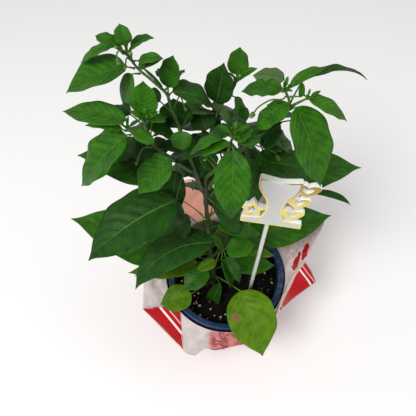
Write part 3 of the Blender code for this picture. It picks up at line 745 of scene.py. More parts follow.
def place_on(stem, place):
    """The point on a stem's axis at a place from 0 to 1."""
    route = stem[0]
    lengths = [(b - a).length for a, b in zip(route, route[1:])]
    left = place * sum(lengths)
    for a, b, length in zip(route, route[1:], lengths):
        if left <= length:
            break
        left -= length
    return a.lerp(b, min(1, left / length))


def clearance(stem, point):
    """How far a point is off a stem's surface."""
    route, foot_radius, tip_radius = stem
    nearest = SEAT_REACH
    for i, (a, b) in enumerate(zip(route, route[1:])):
        t = max(0, min(1, (point - a).dot(b - a) / (b - a).length_squared))
        radius = foot_radius + (tip_radius - foot_radius) * (i + t) / (len(route) - 1)
        nearest = min(nearest, (point - a.lerp(b, t)).length - radius)
    return nearest


def seat(stem, place, way, radius):
    """Where a round foot that points along way stands a gap off the stem's surface."""
    point = place_on(stem, place)
    side = way.orthogonal().normalized()
    rim = [Matrix.Rotation(math.radians(turn), 3, way) @ side * radius for turn in range(0, 360, 45)]
    low, high = 0, SEAT_REACH
    for _ in range(20):
        middle = (low + high) / 2
        if min(clearance(stem, point + way * middle + offset) for offset in rim) > GAP:
            high = middle
        else:
            low = middle
    return point + way * high


def tube(rings, sides):
    """A closed tube's points and faces, through rings of a centre, a way, a radius and a rib depth."""
    points, faces = [], []
    side = rings[0][1].orthogonal().normalized()
    for centre, way, radius, rib in rings:
        side = (side - way * side.dot(way)).normalized()
        up = way.cross(side)
        for k in range(sides):
            turn = math.tau * k / sides
            reach = radius * (1 + rib * math.cos(5 * turn))
            points.append(centre + (side * math.cos(turn) + up * math.sin(turn)) * reach)
    steps = [(k, (k + 1) % sides) for k in range(sides)]
    for a in range(0, len(points) - sides, sides):
        faces += [(a + i, a + j, a + sides + j, a + sides + i) for i, j in steps]
    faces += [tuple(reversed(range(sides))), tuple(range(len(points) - sides, len(points)))]
    return points, faces


def along(route):
    """Each point of a route with the way that it runs there."""
    ends = [route[0], *route, route[-1]]
    return [(at, (after - before).normalized()) for before, at, after in zip(ends, route, ends[2:])]


def bump(distance, width):
    """1 at no distance, and smoothly down to 0 some widths away."""
    return math.exp(-(distance / width) ** 2)


stems = {}
for name, (parent, place, foot_radius, tip_radius, route) in STEMS.items():
    route = [Vector(p) for p in route]
    if parent:
        way = (route[0] - place_on(stems[parent], place)).normalized()
        route.insert(0, seat(stems[parent], place, way, foot_radius))
    stems[name] = (smooth_route(route, STEM_STEP), foot_radius, tip_radius)

bark_green, here = finish("stem_bark", Specular_IOR_Level=0.4)
streaks = here.drawn_out(0.16).blotches(1.1, 4)
young = streaks.rise(0.35, 0.65).mix(paint(48, 78, 22), paint(82, 120, 40))
old = streaks.rise(0.35, 0.65).mix(paint(26, 42, 10), paint(62, 88, 34))
tone = (here.split(2).rise(0.235, 0.345) + here.blotches(16) * 0.3 - 0.15).mix(old, young)
corky = streaks.mix(paint(34, 32, 24), paint(64, 66, 44))
tone = (here.blotches(24, 2).rise(0.5, 0.64) * 0.6).mix(tone, corky)
(here.kept("knot") * 0.75).mix(tone, paint(40, 34, 34)).into("Base Color")
(streaks * 0.2 + 0.42).into("Roughness")
(streaks + here.blotches(0.5, 2) * 0.3).relief(0.35)

joints = {name: [row[1] for row in STEMS.values() if row[0] == name] for name in STEMS}


def stem_piece(name):
    """A stem's finer skin: ribbed at its foot, swollen at each joint, and let into its parent."""
    route, foot_radius, tip_radius = stems[name]
    fine = smooth_route(list(route), FINE_STEP)
    if STEMS[name][0]:
        fine.insert(0, fine[0] - (fine[1] - fine[0]).normalized() * FOOT_LET_IN)
    rings = []
    for i, (at, way) in enumerate(along(fine)):
        t = i / (len(fine) - 1)
        radius = (foot_radius + (tip_radius - foot_radius) * t) * (1 - TIP_THINNING * t)
        for joint in joints[name]:
            radius += KNOT_SWELL[0] * foot_radius * bump(t - joint, KNOT_SWELL[1])
        radius *= 1 + 0.05 * noise.noise(at / 7)
        if STEMS[name][0]:
            radius *= 1 + FOOT_SWELL[0] * bump((at - fine[0]).length, FOOT_SWELL[1])
        rings.append((at, way, radius, 0.05 * (1 - t)))
    end, way, radius, _ = rings[-1]
    rings.append((end + way * radius * 0.5, way, radius * 0.6, 0))
    points, faces = tube(rings, STEM_SIDES)
    obj = fixed(skin(f"{name}_bark", points, faces, bark_green), "stem", name)
    knots = [place_on(stems[name], joint) for joint in joints[name]]
    nearest = [min(((point - at).length for at in knots), default=math.inf) for point in points]
    keep(obj, "knot", [bump(distance, foot_radius * 2.2) for distance in nearest])


for name in STEMS:
    stem_piece(name)

# ---- The leaves -------------------------------------------------------------------------------------
# Soft pointed leaves on thin grooved stalks. The blade is quilted between curved side veins, a little
# folded along its midrib and wavy at its margin; young ones are bright and glossy, old ones dark, and
# the lowest yellowing, one with a dry brown spot. Undersides are paler, greyer and raised along the veins.
GAP_INTO_STEM = 0.7  # how far a stalk's foot is let into its stem
LEAF_WIDEST = 0.36  # the place along a blade where it is widest
STALK_SEAT = 0.8  # the half width that a stalk is seated by, and its own
STALK_RADIUS = 0.58
BASE_RADIUS = 0.8 * STALK_RADIUS  # its half width where it runs on into the blade
# Each leaf: the stem and the place on it that the stalk leaves, the stalk's heading, pitch and length,
# the blade's heading, pitch, length and width, how far it droops from base to tip, its roll and its age.
LEAVES = {
    "leaf_left_1": ("branch_left", 0.975, (-167, 56, 7), (162, 18, 14, 11), 50, 0, "grown"),
    "leaf_left_10": ("branch_left", 0.99, (147, 86, 4), (109, 55, 13, 11), 40, 0, "grown"),
    "leaf_left_2": ("branch_left", 0.965, (86, 29, 5), (37, -6, 19, 8), 80, 0, "grown"),
    "leaf_left_3": ("branch_left", 0.955, (174, 46, 8), (-177, -31, 27, 10), 45, 0, "young"),
    "leaf_left_4": ("branch_left", 0.90, (-174, 21, 5), (-167, -19, 45, 27), 45, 0, "grown"),
    "leaf_left_5": ("branch_left", 0.87, (-157, 19, 5), (-144, -67, 27, 15), 20, 0, "grown"),
    "leaf_left_6": ("branch_left", 0.77, (-63, 41, 3), (-151, 63, 28, 13), 20, 180, "old"),
    "leaf_left_7": ("branch_left", 0.745, (30, 36, 2), (61, 65, 22, 16), -15, 0, "grown"),
    "leaf_left_8": ("branch_left", 0.71, (9, 50, 3), (14, -40, 39, 22), 55, 0, "old"),
    "leaf_left_9": ("branch_left", 0.49, (157, 31, 4), (155, -55, 34, 17), 30, 0, "old"),
    "leaf_centre_1": ("main_stem", 0.925, (-170, 25, 3), (64, 70, 32, 23), -10, 0, "old"),
    "leaf_centre_2": ("main_stem", 0.985, (70, 54, 2), (80, 70, 21, 16), -15, 0, "grown"),
    "leaf_centre_3": ("main_stem", 0.955, (-41, 11, 4), (-28, -71, 32, 12), 20, 0, "grown"),
    "leaf_front_1": ("branch_front", 0.90, (-76, 1, 5), (-91, -58, 50, 24), 40, 0, "young"),
    "leaf_front_2": ("branch_front", 0.86, (-101, 59, 6), (-171, -29, 20, 9), 40, 0, "young"),
    "leaf_front_3": ("branch_front", 0.965, (175, 45, 3), (-168, -36, 31, 13), 60, 20, "grown"),
    "leaf_right_1": ("branch_right", 0.975, (159, 14, 1), (160, -19, 28, 16), 30, 0, "grown"),
    "leaf_right_2": ("branch_right", 0.93, (-92, 8, 2), (-155, -34, 29, 16), 40, 0, "young"),
    "leaf_right_3": ("branch_right", 0.985, (5, 63, 3), (26, 10, 27, 8), 70, 0, "grown"),
    "leaf_right_4": ("branch_right", 0.89, (58, 23, 17), (14, -12, 53, 13), 75, -25, "old"),
    "leaf_right_5": ("twig_right", 0.90, (-60, 42, 1), (-6, -32, 34, 14), 35, 0, "young"),
    "leaf_right_6": ("branch_right", 0.83, (-41, 55, 6), (-52, -54, 63, 32), 30, 0, "young"),
    "leaf_right_7": ("branch_right", 0.58, (-3, -73, 9), (33, 50, 23, 19), 20, 0, "old"),
    "leaf_right_8": ("branch_right", 0.50, (-30, -40, 18), (-6, -14, 42, 25), 30, 0, "old"),
    "leaf_right_9": ("branch_right", 0.46, (-90, -10, 5), (-96, -50, 27, 22), 30, 0, "old"),
    "leaf_low_left_1": ("branch_left_low", 0.97, (74, 52, 2), (85, 69, 23, 18), -15, 0, "young"),
    "leaf_low_left_2": ("twig_left_low", 0.95, (99, 73, 4), (167, -6, 45, 19), 40, 0, "grown"),
    "leaf_low_left_3": ("twig_left_low", 0.60, (-131, 45, 4), (-160, -47, 57, 31), 30, 0, "young"),
    "leaf_low_left_4": ("branch_left_low", 0.25, (-173, -64, 12), (176, 15, 71, 44), 30, 0, "grown"),
    "leaf_low_left_5": ("branch_left_low", 0.45, (-65, 38, 9), (-142, -32, 35, 26), 30, 0, "grown"),
    "leaf_low_left_6": ("twig_left_low", 0.60, (-148, 57, 3), (-175, 17, 23, 8), 30, 0, "young"),
    "leaf_low_left_7": ("twig_left_low", 0.82, (-63, 45, 8), (-14, -27, 15, 10), 20, 0, "young"),
    "leaf_middle_1": ("main_stem", 0.625, (-40, -20, 6), (-30, -48, 42, 20), 30, 0, "old"),
    "leaf_middle_2": ("main_stem", 0.56, (100, 35, 9), (68, 70, 36, 16), -10, 0, "old"),
    "leaf_big_1": ("branch_left_low", 0.10, (-122, -60, 28), (-150, -16, 88, 48), 40, 0, "old"),
    "leaf_big_2": ("main_stem", 0.235, (166, 12, 28), (172, 22, 119, 60), 25, 0, "grown"),
    "leaf_big_3": ("main_stem", 0.24, (-120, 20, 8), (-138, -18, 34, 24), 30, 0, "grown"),
    "leaf_big_4": ("main_stem", 0.37, (-78, 61, 25), (-164, -24, 94, 36), 45, 0, "old"),
    "leaf_big_5": ("main_stem", 0.15, (158, 21, 15), (-168, 3, 70, 29), 30, 0, "pale"),
    "leaf_big_6": ("main_stem", 0.07, (-133, 38, 39), (-164, -14, 36, 30), 40, 0, "pale"),
    "leaf_big_7": ("main_stem", 0.13, (-35, 4, 32), (-69, -22, 74, 52), 50, 0, "pale"),
    "leaf_big_8": ("main_stem", 0.21, (33, 15, 40), (16, 4, 98, 45), 30, 0, "grown"),
    "leaf_big_9": ("main_stem", 0.51, (30, 19, 52), (9, 4, 97, 46), 30, 0, "grown"),
    "leaf_shoot_1": ("side_shoot", 0.90, (10, 20, 5), (8, -10, 38, 20), 40, 0, "grown"),
    "leaf_shoot_2": ("main_stem", 0.17, (27, -20, 20), (1, -9, 51, 26), 20, 0, "grown"),
}
VEINS = 8  # side veins along each half of a blade
VEIN_LEAN = 0.16  # how far along the blade a vein runs on its way out, and how much of that is curved
VEIN_CURVE = 0.13
BLADE_HALF = 0.16  # half a blade's thickness
QUILTING = 0.034  # how far the blade swells between its veins, for a blade 1 mm wide
MIDRIB = (0.95, 0.85)  # how far the midrib stands out underneath, and its half width
GROOVE = (0.22, 0.8)  # the same of the groove over it
STALK_STEP = 2.5  # between the rows of points along a stalk, and along a blade
BLADE_STEP = 1.35
LONG_BLADE = 38  # a blade of this length or more is drawn out to its tip, and a shorter one is blunter
DRIED = (0.33, 0.66)  # the dry spot's place along its blade and out from the midrib
DRIED_BLADE = (74, 24)  # that blade's length and half width, so that the spot is round
# Each age: the blade's deep and light green, its veins, its underside, and its gloss.
LEAF_GREENS = {
    "young": (paint(22, 72, 3), paint(56, 116, 10), paint(86, 142, 34), paint(84, 116, 56), 0.38),
    "grown": (paint(22, 68, 5), paint(52, 108, 16), paint(80, 130, 40), paint(74, 100, 58), 0.40),
    "old": (paint(9, 42, 2), paint(30, 80, 11), paint(88, 130, 62), paint(60, 84, 50), 0.42),
    "pale": (paint(42, 80, 3), paint(88, 128, 10), paint(118, 150, 40), paint(100, 128, 44), 0.44),
}
BENDS = {"leaf_big_4": 55}  # how far a blade curves to its left from base to tip


def right_of(heading):
    """The level unit vector to the right of a heading."""
    h = math.radians(heading)
    return Vector((math.sin(h), -math.cos(h), 0))


def blade_share(t, blunt=0.0):
    """The half width along the blade, as a share of the widest, with a drawn-out tip or a blunt one."""
    rise, fall = 0.6, 0.6 * (1 - LEAF_WIDEST) / LEAF_WIDEST
    share = (t / LEAF_WIDEST) ** rise * ((1 - t) / (1 - LEAF_WIDEST)) ** fall
    shoulder = (0.09 + 0.3 * blunt) * bump(t - 0.62 - 0.18 * blunt, 0.15)
    return share * (1 + shoulder - 0.32 * (1 - blunt) * bump(t - 0.96, 0.08))


def vein_lines(t, s, age):
    """Where the midrib and the side veins run on a blade, and where the beds between them are, as a mask for
    the painted shade along the veins' grooves.
    """
    out = abs(s)
    phase = (t - out * VEIN_LEAN - out * out * VEIN_CURVE) * VEINS + s.rise(-0.001, 0.001) * 0.5
    saw = abs(phase.maths("FRACT", phase + 8) - 0.5) * 2
    side_vein = saw.rise(0.9, 1.0) * out.rise(1.0, 0.55) * t.rise(0.98, 0.8)
    midrib = (out / (1.12 - t)).rise(0.06, 0.015)
    across = side_vein * (0.7 if age == "old" else 0.4)
    return across.maths("MAXIMUM", across, midrib * 0.8), saw.rise(0.35, 0.95)


def dried(shade, here, t, s):
    """A blade's colour with a dry brown spot in a yellowed ring."""
    off_t, off_s = (t - DRIED[0]) * DRIED_BLADE[0], (s - DRIED[1]) * DRIED_BLADE[1]
    ragged = (off_t * off_t + off_s * off_s) ** 0.5 + here.blotches(2.5, 3) * 3.4 - 1.7
    shade = ragged.rise(5.4, 4.4).mix(shade, paint(118, 108, 44))
    brown = here.blotches(1.5, 3).mix(paint(96, 70, 36), paint(150, 122, 78))
    return (ragged.rise(4.4, 3.6) * 0.8).mix(shade, brown)


def leaf_green(age, spot=False):
    """The finish of one age of leaf, drawn along the blade by its own map of place and side."""
    deep, light, vein, under, gloss = LEAF_GREENS[age]
    name = f"{age}_leaf_with_spot" if spot else f"{age}_leaf"
    made, here = finish(name, Specular_IOR_Level=0.12, Coat_Roughness=0.3)
    blade = here.node("ShaderNodeUVMap", {"uv_map": "blade"})
    t, over = blade.split(0), blade.split(1)
    back = over.rise(1.4, 1.6)
    s = (over - back * 2) * 2 - 1
    veins, vein_groove_shade = vein_lines(t, s, age)
    lamina = here.blotches(8, 3).rise(0.3, 0.7)
    # Painted shade: the blade is darker along the grooves of its side veins and lighter on the beds between
    # them.
    bright = lamina * 0.55 + here.kept("tone") * 0.5 + 0.06 - vein_groove_shade * (0.02 if age == "pale" else 0.22)
    shade = (veins * (0.9 if age == "old" else 0.55)).mix(bright.mix(deep, light), vein)
    net = here.node("ShaderNodeTexVoronoi", {"feature": "DISTANCE_TO_EDGE"}, {"Vector": here, "Scale": 620.0})
    thread = net.rise(0.1, 0.0)
    shade = (thread * 0.14).mix(shade, vein)
    # Painted sheen: broad lighter grey-green patches on the old and grown blades.
    if age in ("old", "grown"):
        shade = (here.blotches(22, 2).rise(0.52, 0.75) * 0.22).mix(shade, paint(54, 76, 38))
    if spot:
        shade = dried(shade, here, t, s)
    stalk = t.rise(0.012, -0.012)
    shade = stalk.mix(shade, here.blotches(6).mix(light, vein))
    behind = (veins * 0.8 + lamina * 0.2).mix(under, vein)
    behind = stalk.mix(behind, vein)
    back.mix(shade, behind).into("Base Color")
    (lamina * 0.1 + back * 0.18 + thread * 0.08 + (gloss - 0.05)).into("Roughness")
    ((1 - back) * (0.07 if age != "old" else 0.05)).into("Coat Weight")
    grooves = veins * (back * 2 - 1) * 1.4 + net.rise(0.0, 0.16) * 0.3 + here.blotches(1.6, 2) * 0.35
    grooves.relief(0.42)
    return made


leaf_greens = {age: leaf_green(age) for age in LEAF_GREENS}
spotted = leaf_green("pale", spot=True)


def stalk_rows(foot, stalk, blade, droop, arch):
    """The rows along a leaf's stalk: centre, way, side, place from -1 at its foot to 0, and half width."""
    heading, pitch, length = stalk
    way_in, way_out = direction(heading, pitch), direction(blade[0], blade[1] + droop * 0.5)
    side_in, side_out = right_of(heading), right_of(blade[0])
    if side_in.dot(side_out) < -0.2:
        side_in = -side_in
    bow = way_in.orthogonal() if abs(way_in.z) > 0.95 else Vector((0, 0, 1)) - way_in * way_in.z
    bow.normalize()
    count = max(3, round(length / STALK_STEP))
    rows = []
    for p in (i / count for i in range(count)):
        way = way_in.lerp(way_out, max(0, p - 0.6)).normalized()
        at = foot - way_in * GAP_INTO_STEM * (1 - p) + way_in * length * p
        at = at + bow * arch * length * math.sin(math.pi * p)
        side = side_in.lerp(side_out, p * p * (3 - 2 * p) * 0.8)
        swell = 1 + 0.35 * bump(p * length, 2.2)
        rows.append((at, way, side, p - 1, STALK_RADIUS * (1 - 0.2 * p) * swell))
    return rows


def blade_rows(base, blade, droop, roll, sweep):
    """The rows along a blade from its base: centre, way, side, place from 0 to 1, and half width."""
    heading, pitch, length, width = blade
    steps = max(14, min(72, round(length / BLADE_STEP)))
    at, last, blunt = base, 0.0, max(0, min(1, (LONG_BLADE - length) / 14))
    rows = []
    for p in (i / steps for i in range(steps + 1)):
        t = 0.995 * (0.92 * p + 0.08 * p**2)
        middle = (last + t) / 2
        turned_to = heading + sweep * (middle - LEAF_WIDEST)
        at = at + direction(turned_to, pitch + droop * (0.5 - middle)) * length * (t - last)
        turned_to = heading + sweep * (t - LEAF_WIDEST)
        way = direction(turned_to, pitch + droop * (0.5 - t))
        side = Matrix.Rotation(math.radians(roll), 3, way) @ right_of(turned_to)
        wide = max(BASE_RADIUS * (1 - t) + 0.12, width / 2 * blade_share(t, blunt))
        rows.append((at, way, side, t, wide))
        last = t
    return rows


def leaf_form(width, rng):
    """One leaf's own form: its fold, bow, margin's waves and quilting, and where its points lie across."""
    across = max(5, min(17, round(width / 3.0)))
    x = np.arange(-across, across + 1) / across
    s = np.sign(x) * np.abs(x) ** 1.2
    fold, bow = rng.uniform(0.2, 0.34), rng.uniform(0.06, 0.16)
    wave, waves = rng.uniform(0.03, 0.09), rng.uniform(2.2, 3.6)
    starts = np.where(s < 0, rng.random(), rng.random())
    return s, fold, bow, wave, waves, starts, QUILTING * width ** 0.85 * rng.uniform(0.8, 1.15)


def section(form, t, wide):
    """A leaf's section at a place: how far out its points lie, and the heights of its top and underside."""
    s, fold, bow, wave, waves, starts, quilt = form
    out, round_off = np.abs(s), np.sqrt(np.clip(1 - s**2, 0, 1))
    if t < 0:
        channel = 0.3 * wide * (1 - s**2) ** 2
        return s * wide, wide * round_off - channel, -wide * round_off
    on_blade = min(1.0, t / 0.05)
    lift = wide * (fold * (np.sqrt(out**2 + 0.012) - 0.11) - bow * out**2)
    lift += wide * wave * out**2.5 * np.sin(math.tau * (waves * t + starts))
    veins = VEINS * (t - VEIN_LEAN * out - VEIN_CURVE * out**2) + np.where(s < 0, 0, 0.5)
    puff = np.abs(np.sin(math.pi * veins)) ** 0.8 - 0.6
    bell = np.minimum(1, out / 0.12) * (1 - out**4) * min(1, blade_share(max(t, 1e-3)) * 1.2 if t > 0 else 0)
    lift = (lift + quilt * puff * bell) * on_blade
    thick = BASE_RADIUS * (1 - on_blade) + BLADE_HALF * on_blade
    thick = thick * (round_off * (1 - on_blade) + on_blade * np.maximum(0.3, round_off))
    groove = GROOVE[0] * np.exp(-((s * wide / GROOVE[1]) ** 2)) * (1 - 0.7 * t)
    rib = on_blade * MIDRIB[0] * (1 - 0.8 * t) * np.exp(-((s * wide / (MIDRIB[1] * (1.1 - 0.6 * t))) ** 2))
    return s * wide * (1 - on_blade * 0.08 * fold), lift + thick - groove, lift - thick - rib


def leaf_skin(name, foot, stalk, blade, droop, roll, made, seed):
    """A leaf's closed skin: its stalk runs on as the midrib under a thin, quilted blade."""
    rng = random.Random(seed)
    sweep = rng.uniform(-14, 14) + BENDS.get(name.removesuffix("_blade"), 0)
    rows = stalk_rows(foot, stalk, blade, droop, rng.uniform(0.0, 0.07))
    base = foot + direction(*stalk[:2]) * stalk[2]
    rows += blade_rows(base, blade, droop, roll, sweep)
    form = leaf_form(blade[3], rng)
    points = []
    for at, way, side, t, wide in rows:
        side = (side - way * side.dot(way)).normalized()
        up = side.cross(way)
        lean, top, bottom = section(form, t, wide)
        points += [at + side * o + up * h for o, h in zip(lean, top)]
        points += [at + side * o + up * h for o, h in zip(reversed(lean), reversed(bottom))]
    ring = 2 * len(form[0])
    steps = [(k, (k + 1) % ring) for k in range(ring)]
    faces = []
    for a in range(0, len(points) - ring, ring):
        faces += [(a + i, a + ring + i, a + ring + j, a + j) for i, j in steps]
    faces += [tuple(range(ring)), tuple(reversed(range(len(points) - ring, len(points))))]
    obj = skin(name, points, faces, made)
    over = (form[0] + 1) / 2
    beside = np.concatenate([over, 2 + over[::-1]])
    owners = np.empty(len(obj.data.loops), np.int32)
    obj.data.loops.foreach_get("vertex_index", owners)
    place = np.array([row[3] for row in rows])[owners // ring]
    map_of_blade = np.stack([place, beside[owners % ring]], 1).astype(np.float32)
    obj.data.uv_layers.new(name="blade").data.foreach_set("uv", map_of_blade.ravel())
    keep(obj, "tone", np.full(len(points), rng.uniform(0.25, 0.95)))
    return obj


LEAF_SLOTS = {"young": "young_leaf", "grown": "leaf", "old": "leaf", "pale": "pale_leaf"}
for number, (name, (stem_name, place, stalk, *form, age)) in enumerate(LEAVES.items()):
    foot = seat(stems[stem_name], place, direction(*stalk[:2]), STALK_SEAT)
    made = spotted if name == "leaf_big_7" else leaf_greens[age]
    obj = leaf_skin(f"{name}_blade", foot, stalk, *form, made, 40 + number)
    fixed(obj, LEAF_SLOTS[age], name)

# ---- The smaller and inner leaves -------------------------------------------------------------------
# The rest of the foliage, made as the other leaves are: small leaves round the growing tips, and shaded
# leaves in the middle of the plant and behind.

# Each leaf: the stem and the place on it that the stalk leaves, the blade's foot, the blade, its droop,
# its roll and its age.
MORE_LEAVES = (
    ("branch_left", 0.90, (-64, 24, 395), (0, 21, 18, 11), 60, 15, "grown"),
    ("branch_left_low", 0.97, (-61, -7, 381), (-159, 59, 11, 8), 50, 0, "young"),
    ("branch_left_low", 0.95, (-59, -2, 376), (19, -29, 14, 10), 50, 0, "young"),
    ("branch_left", 0.42, (-45, 14, 342), (-156, 40, 25, 21), 40, 0, "old"),
    ("branch_left", 0.36, (-42, 12, 327), (-172, 20, 15, 12), 30, 0, "old"),
    ("branch_left", 0.50, (-43, 22, 338), (100, 57, 22, 26), -10, 0, "old"),
    ("branch_left", 0.40, (-38, 2, 359), (-92, -55, 14, 15), 40, 0, "grown"),
    ("main_stem", 0.80, (-22, 26, 330), (110, 36, 18, 21), -10, 0, "old"),
    ("main_stem", 0.84, (-16, 34, 321), (87, 44, 17, 12), 0, 0, "old"),
    ("main_stem", 0.83, (1, 32, 326), (-172, 55, 24, 15), 50, 170, "grown"),
    ("branch_right", 0.97, (29, 22, 386), (158, -11, 22, 15), 40, 170, "grown"),
    ("main_stem", 0.985, (-1, 50, 354), (180, 32, 11, 7), 50, 0, "young"),
    ("main_stem", 0.99, (2, 51, 357), (9, 31, 15, 7), 50, 0, "young"),
    ("branch_right", 0.95, (39, 9, 384), (115, 72, 11, 5), 20, 0, "young"),
    ("branch_front", 0.98, (-2, -20, 376), (15, -11, 16, 13), 50, 0, "grown"),
    ("branch_front", 0.80, (-10, -14, 357), (170, -28, 26, 12), 40, 30, "old"),
    ("branch_front", 0.93, (-5, -20, 378), (26, 13, 14, 14), 40, 0, "grown"),
    ("branch_front", 0.95, (-7, -20, 381), (148, 1, 11, 12), 40, 0, "old"),
    ("branch_front", 0.35, (-16, -2, 321), (142, 41, 17, 16), 30, 0, "old"),
    ("branch_left", 0.10, (-46, 16, 291), (-112, -68, 46, 24), 30, 0, "old"),
    ("main_stem", 0.60, (9, 28, 292), (-78, -68, 60, 34), 30, 0, "old"),
    ("main_stem", 0.66, (-31, 26, 312), (-80, -60, 32, 26), 30, 0, "old"),
    ("main_stem", 0.64, (-23, 16, 275), (161, 64, 29, 18), 30, 0, "old"),
    ("branch_right", 0.35, (2, 14, 302), (9, 9, 26, 24), 30, 0, "old"),
    ("branch_right", 0.55, (21, 14, 322), (-59, -41, 22, 22), 30, 0, "grown"),
    ("branch_left", 0.95, (-63, 22, 402), (-8, 13, 16, 10), 40, 0, "grown"),
    ("branch_right", 0.55, (25, 14, 322), (24, 2, 20, 13), 40, 170, "grown"),
    ("branch_right", 0.45, (17, 4, 307), (9, -29, 30, 8), 40, 40, "grown"),
    ("branch_right", 0.60, (10, 6, 353), (-6, 31, 23, 12), 30, 0, "old"),
    ("main_stem", 0.33, (-11, -6, 237), (0, -26, 46, 18), 40, 0, "grown"),
    ("main_stem", 0.30, (-8, -4, 241), (36, 33, 20, 16), 20, 0, "old"),
    ("side_shoot", 0.95, (-3, -14, 204), (4, 9, 29, 22), 40, 0, "grown"),
    ("side_shoot", 0.80, (19, -6, 179), (8, -28, 34, 11), 40, 0, "pale"),
    ("side_shoot", 0.85, (-7, -16, 185), (-28, -78, 63, 17), 30, 0, "grown"),
    ("main_stem", 0.14, (-7, -18, 125), (-126, -72, 66, 17), 30, 0, "old"),
    ("side_shoot", 0.90, (-3, -16, 190), (-20, -72, 57, 15), 30, 0, "grown"),
    ("side_shoot", 0.70, (-12, -14, 178), (-158, -17, 22, 13), 40, 0, "pale"),
    ("side_shoot", 0.99, (-7, -12, 208), (160, 47, 18, 10), 20, 0, "grown"),
    ("main_stem", 0.45, (74, 24, 246), (-8, -20, 43, 7), 60, 60, "old"),
    ("main_stem", 0.30, (-59, -16, 165), (-160, 24, 45, 15), 20, 0, "pale"),
    ("branch_left_low", 0.60, (-60, 4, 340), (-157, -22, 16, 20), 30, 0, "old"),
    ("main_stem", 0.50, (-47, 0, 277), (-121, -63, 36, 26), 20, 0, "old"),
    ("main_stem", 0.40, (-39, 2, 244), (-133, -67, 35, 20), 20, 0, "old"),
)
# Shaded leaves hang behind each stem at even steps: the stem, where they start and stop on it, how many,
# the middle and the spread of their headings, their pitch, and the lowest and the highest blade's length.
SHADE_LEAVES = (
    ("main_stem", 0.24, 0.90, 15, 88, 62, -50, 62, 42),
    ("branch_right", 0.22, 0.70, 7, 75, 75, -50, 48, 40),
    ("branch_left", 0.15, 0.70, 6, 105, 60, -46, 46, 36),
    ("branch_left_low", 0.18, 0.92, 5, 118, 45, -48, 46, 30),
    ("branch_front", 0.20, 0.80, 4, 100, 50, -52, 42, 34),
    ("side_shoot", 0.25, 0.90, 3, 70, 50, -52, 58, 44),
)
LIGHT_GAP = (85, 130, 0.5)  # the headings between which, and the place below which, none hangs
GOLDEN = 0.618
SHADE_STALK = 17.0
SHADE_RISE = 18  # the pitch of its stalk
SHADE_SHAPE = 0.54  # a shaded blade's width as a share of its length


def shade_rows(stem_name):
    """The rows of a stem's shaded leaves, in the form of the table above."""
    rows = []
    for owner, first, last, count, middle, spread, pitch, longest, shortest in SHADE_LEAVES:
        if owner != stem_name:
            continue
        for i in range(count):
            p = i / (count - 1)
            place = first + (last - first) * p
            swing = (i * GOLDEN + 0.3) % 1 * 2 - 1
            heading = middle + spread * swing
            if LIGHT_GAP[0] < heading < LIGHT_GAP[1] and place < LIGHT_GAP[2]:
                continue
            length = (longest + (shortest - longest) * p) * (0.9 + 0.2 * (i * 0.37 % 1))
            blade = (heading + 20 * swing, pitch + 14 * (i * 0.73 % 1), length, length * SHADE_SHAPE)
            stalk = direction(heading, SHADE_RISE) * SHADE_STALK * (1.15 - 0.4 * p)
            base = place_on(stems[owner], place) + stalk
            rows.append((owner, place, base, blade, 34, 0, "old" if i % 3 else "grown"))
    return rows


def joined(name, pieces):
    """One piece of several."""
    with bpy.context.temp_override(active_object=pieces[0], selected_editable_objects=pieces):
        bpy.ops.object.join()
    pieces[0].name = pieces[0].data.name = name
    return pieces[0]


def stalk_to(stem, place, base):
    """The foot of a stalk on a stem, and its heading, pitch and length to a blade's base."""
    base = Vector(base)
    way = base - place_on(stem, place)
    if way.length < STALK_SEAT * 3:
        way = Vector((way.x, way.y, way.z + 3))
    foot = seat(stem, place, way.normalized(), STALK_SEAT)
    way = base - foot if (base - foot).length > 1 else way.normalized()
    heading = math.degrees(math.atan2(way.y, way.x))
    return foot, (heading, math.degrees(math.asin(way.z / way.length)), way.length)


for stem_name, stem in stems.items():
    group = []
    for number, (owner, place, base, *form, age) in enumerate([*MORE_LEAVES, *shade_rows(stem_name)]):
        if owner == stem_name:
            foot, stalk = stalk_to(stem, place, base)
            group.append(leaf_skin(f"more_{number}", foot, stalk, *form, leaf_greens[age], 300 + number))
    if group:
        fixed(joined(f"{stem_name}_more_leaves", group), "leaf")

# ---- The buds and shoot tips ------------------------------------------------------------------------
# Closed green flower buds nod on thin stalks at the forks of the upper shoots, in ribbed cups, and a few
# lower ones are pale and about to open. Round each growing tip the youngest leaves still stand together.
BUD_STALK = 0.5
BUD_SEAT = 0.55  # the half width that a bud's stalk is seated by
BUD_SIDES = 15
BUDS = {
    "bud_left": ("branch_left", 0.97, ((-73, 22, 410), (-75, 20, 409), (-75, 19, 407)), 1.7),
    "bud_right": ("branch_right", 0.96, (
        (26, 5, 386), (20, 4, 387), (15, 2, 386), (11, 0, 384), (9, -1, 381)), 1.8),
}
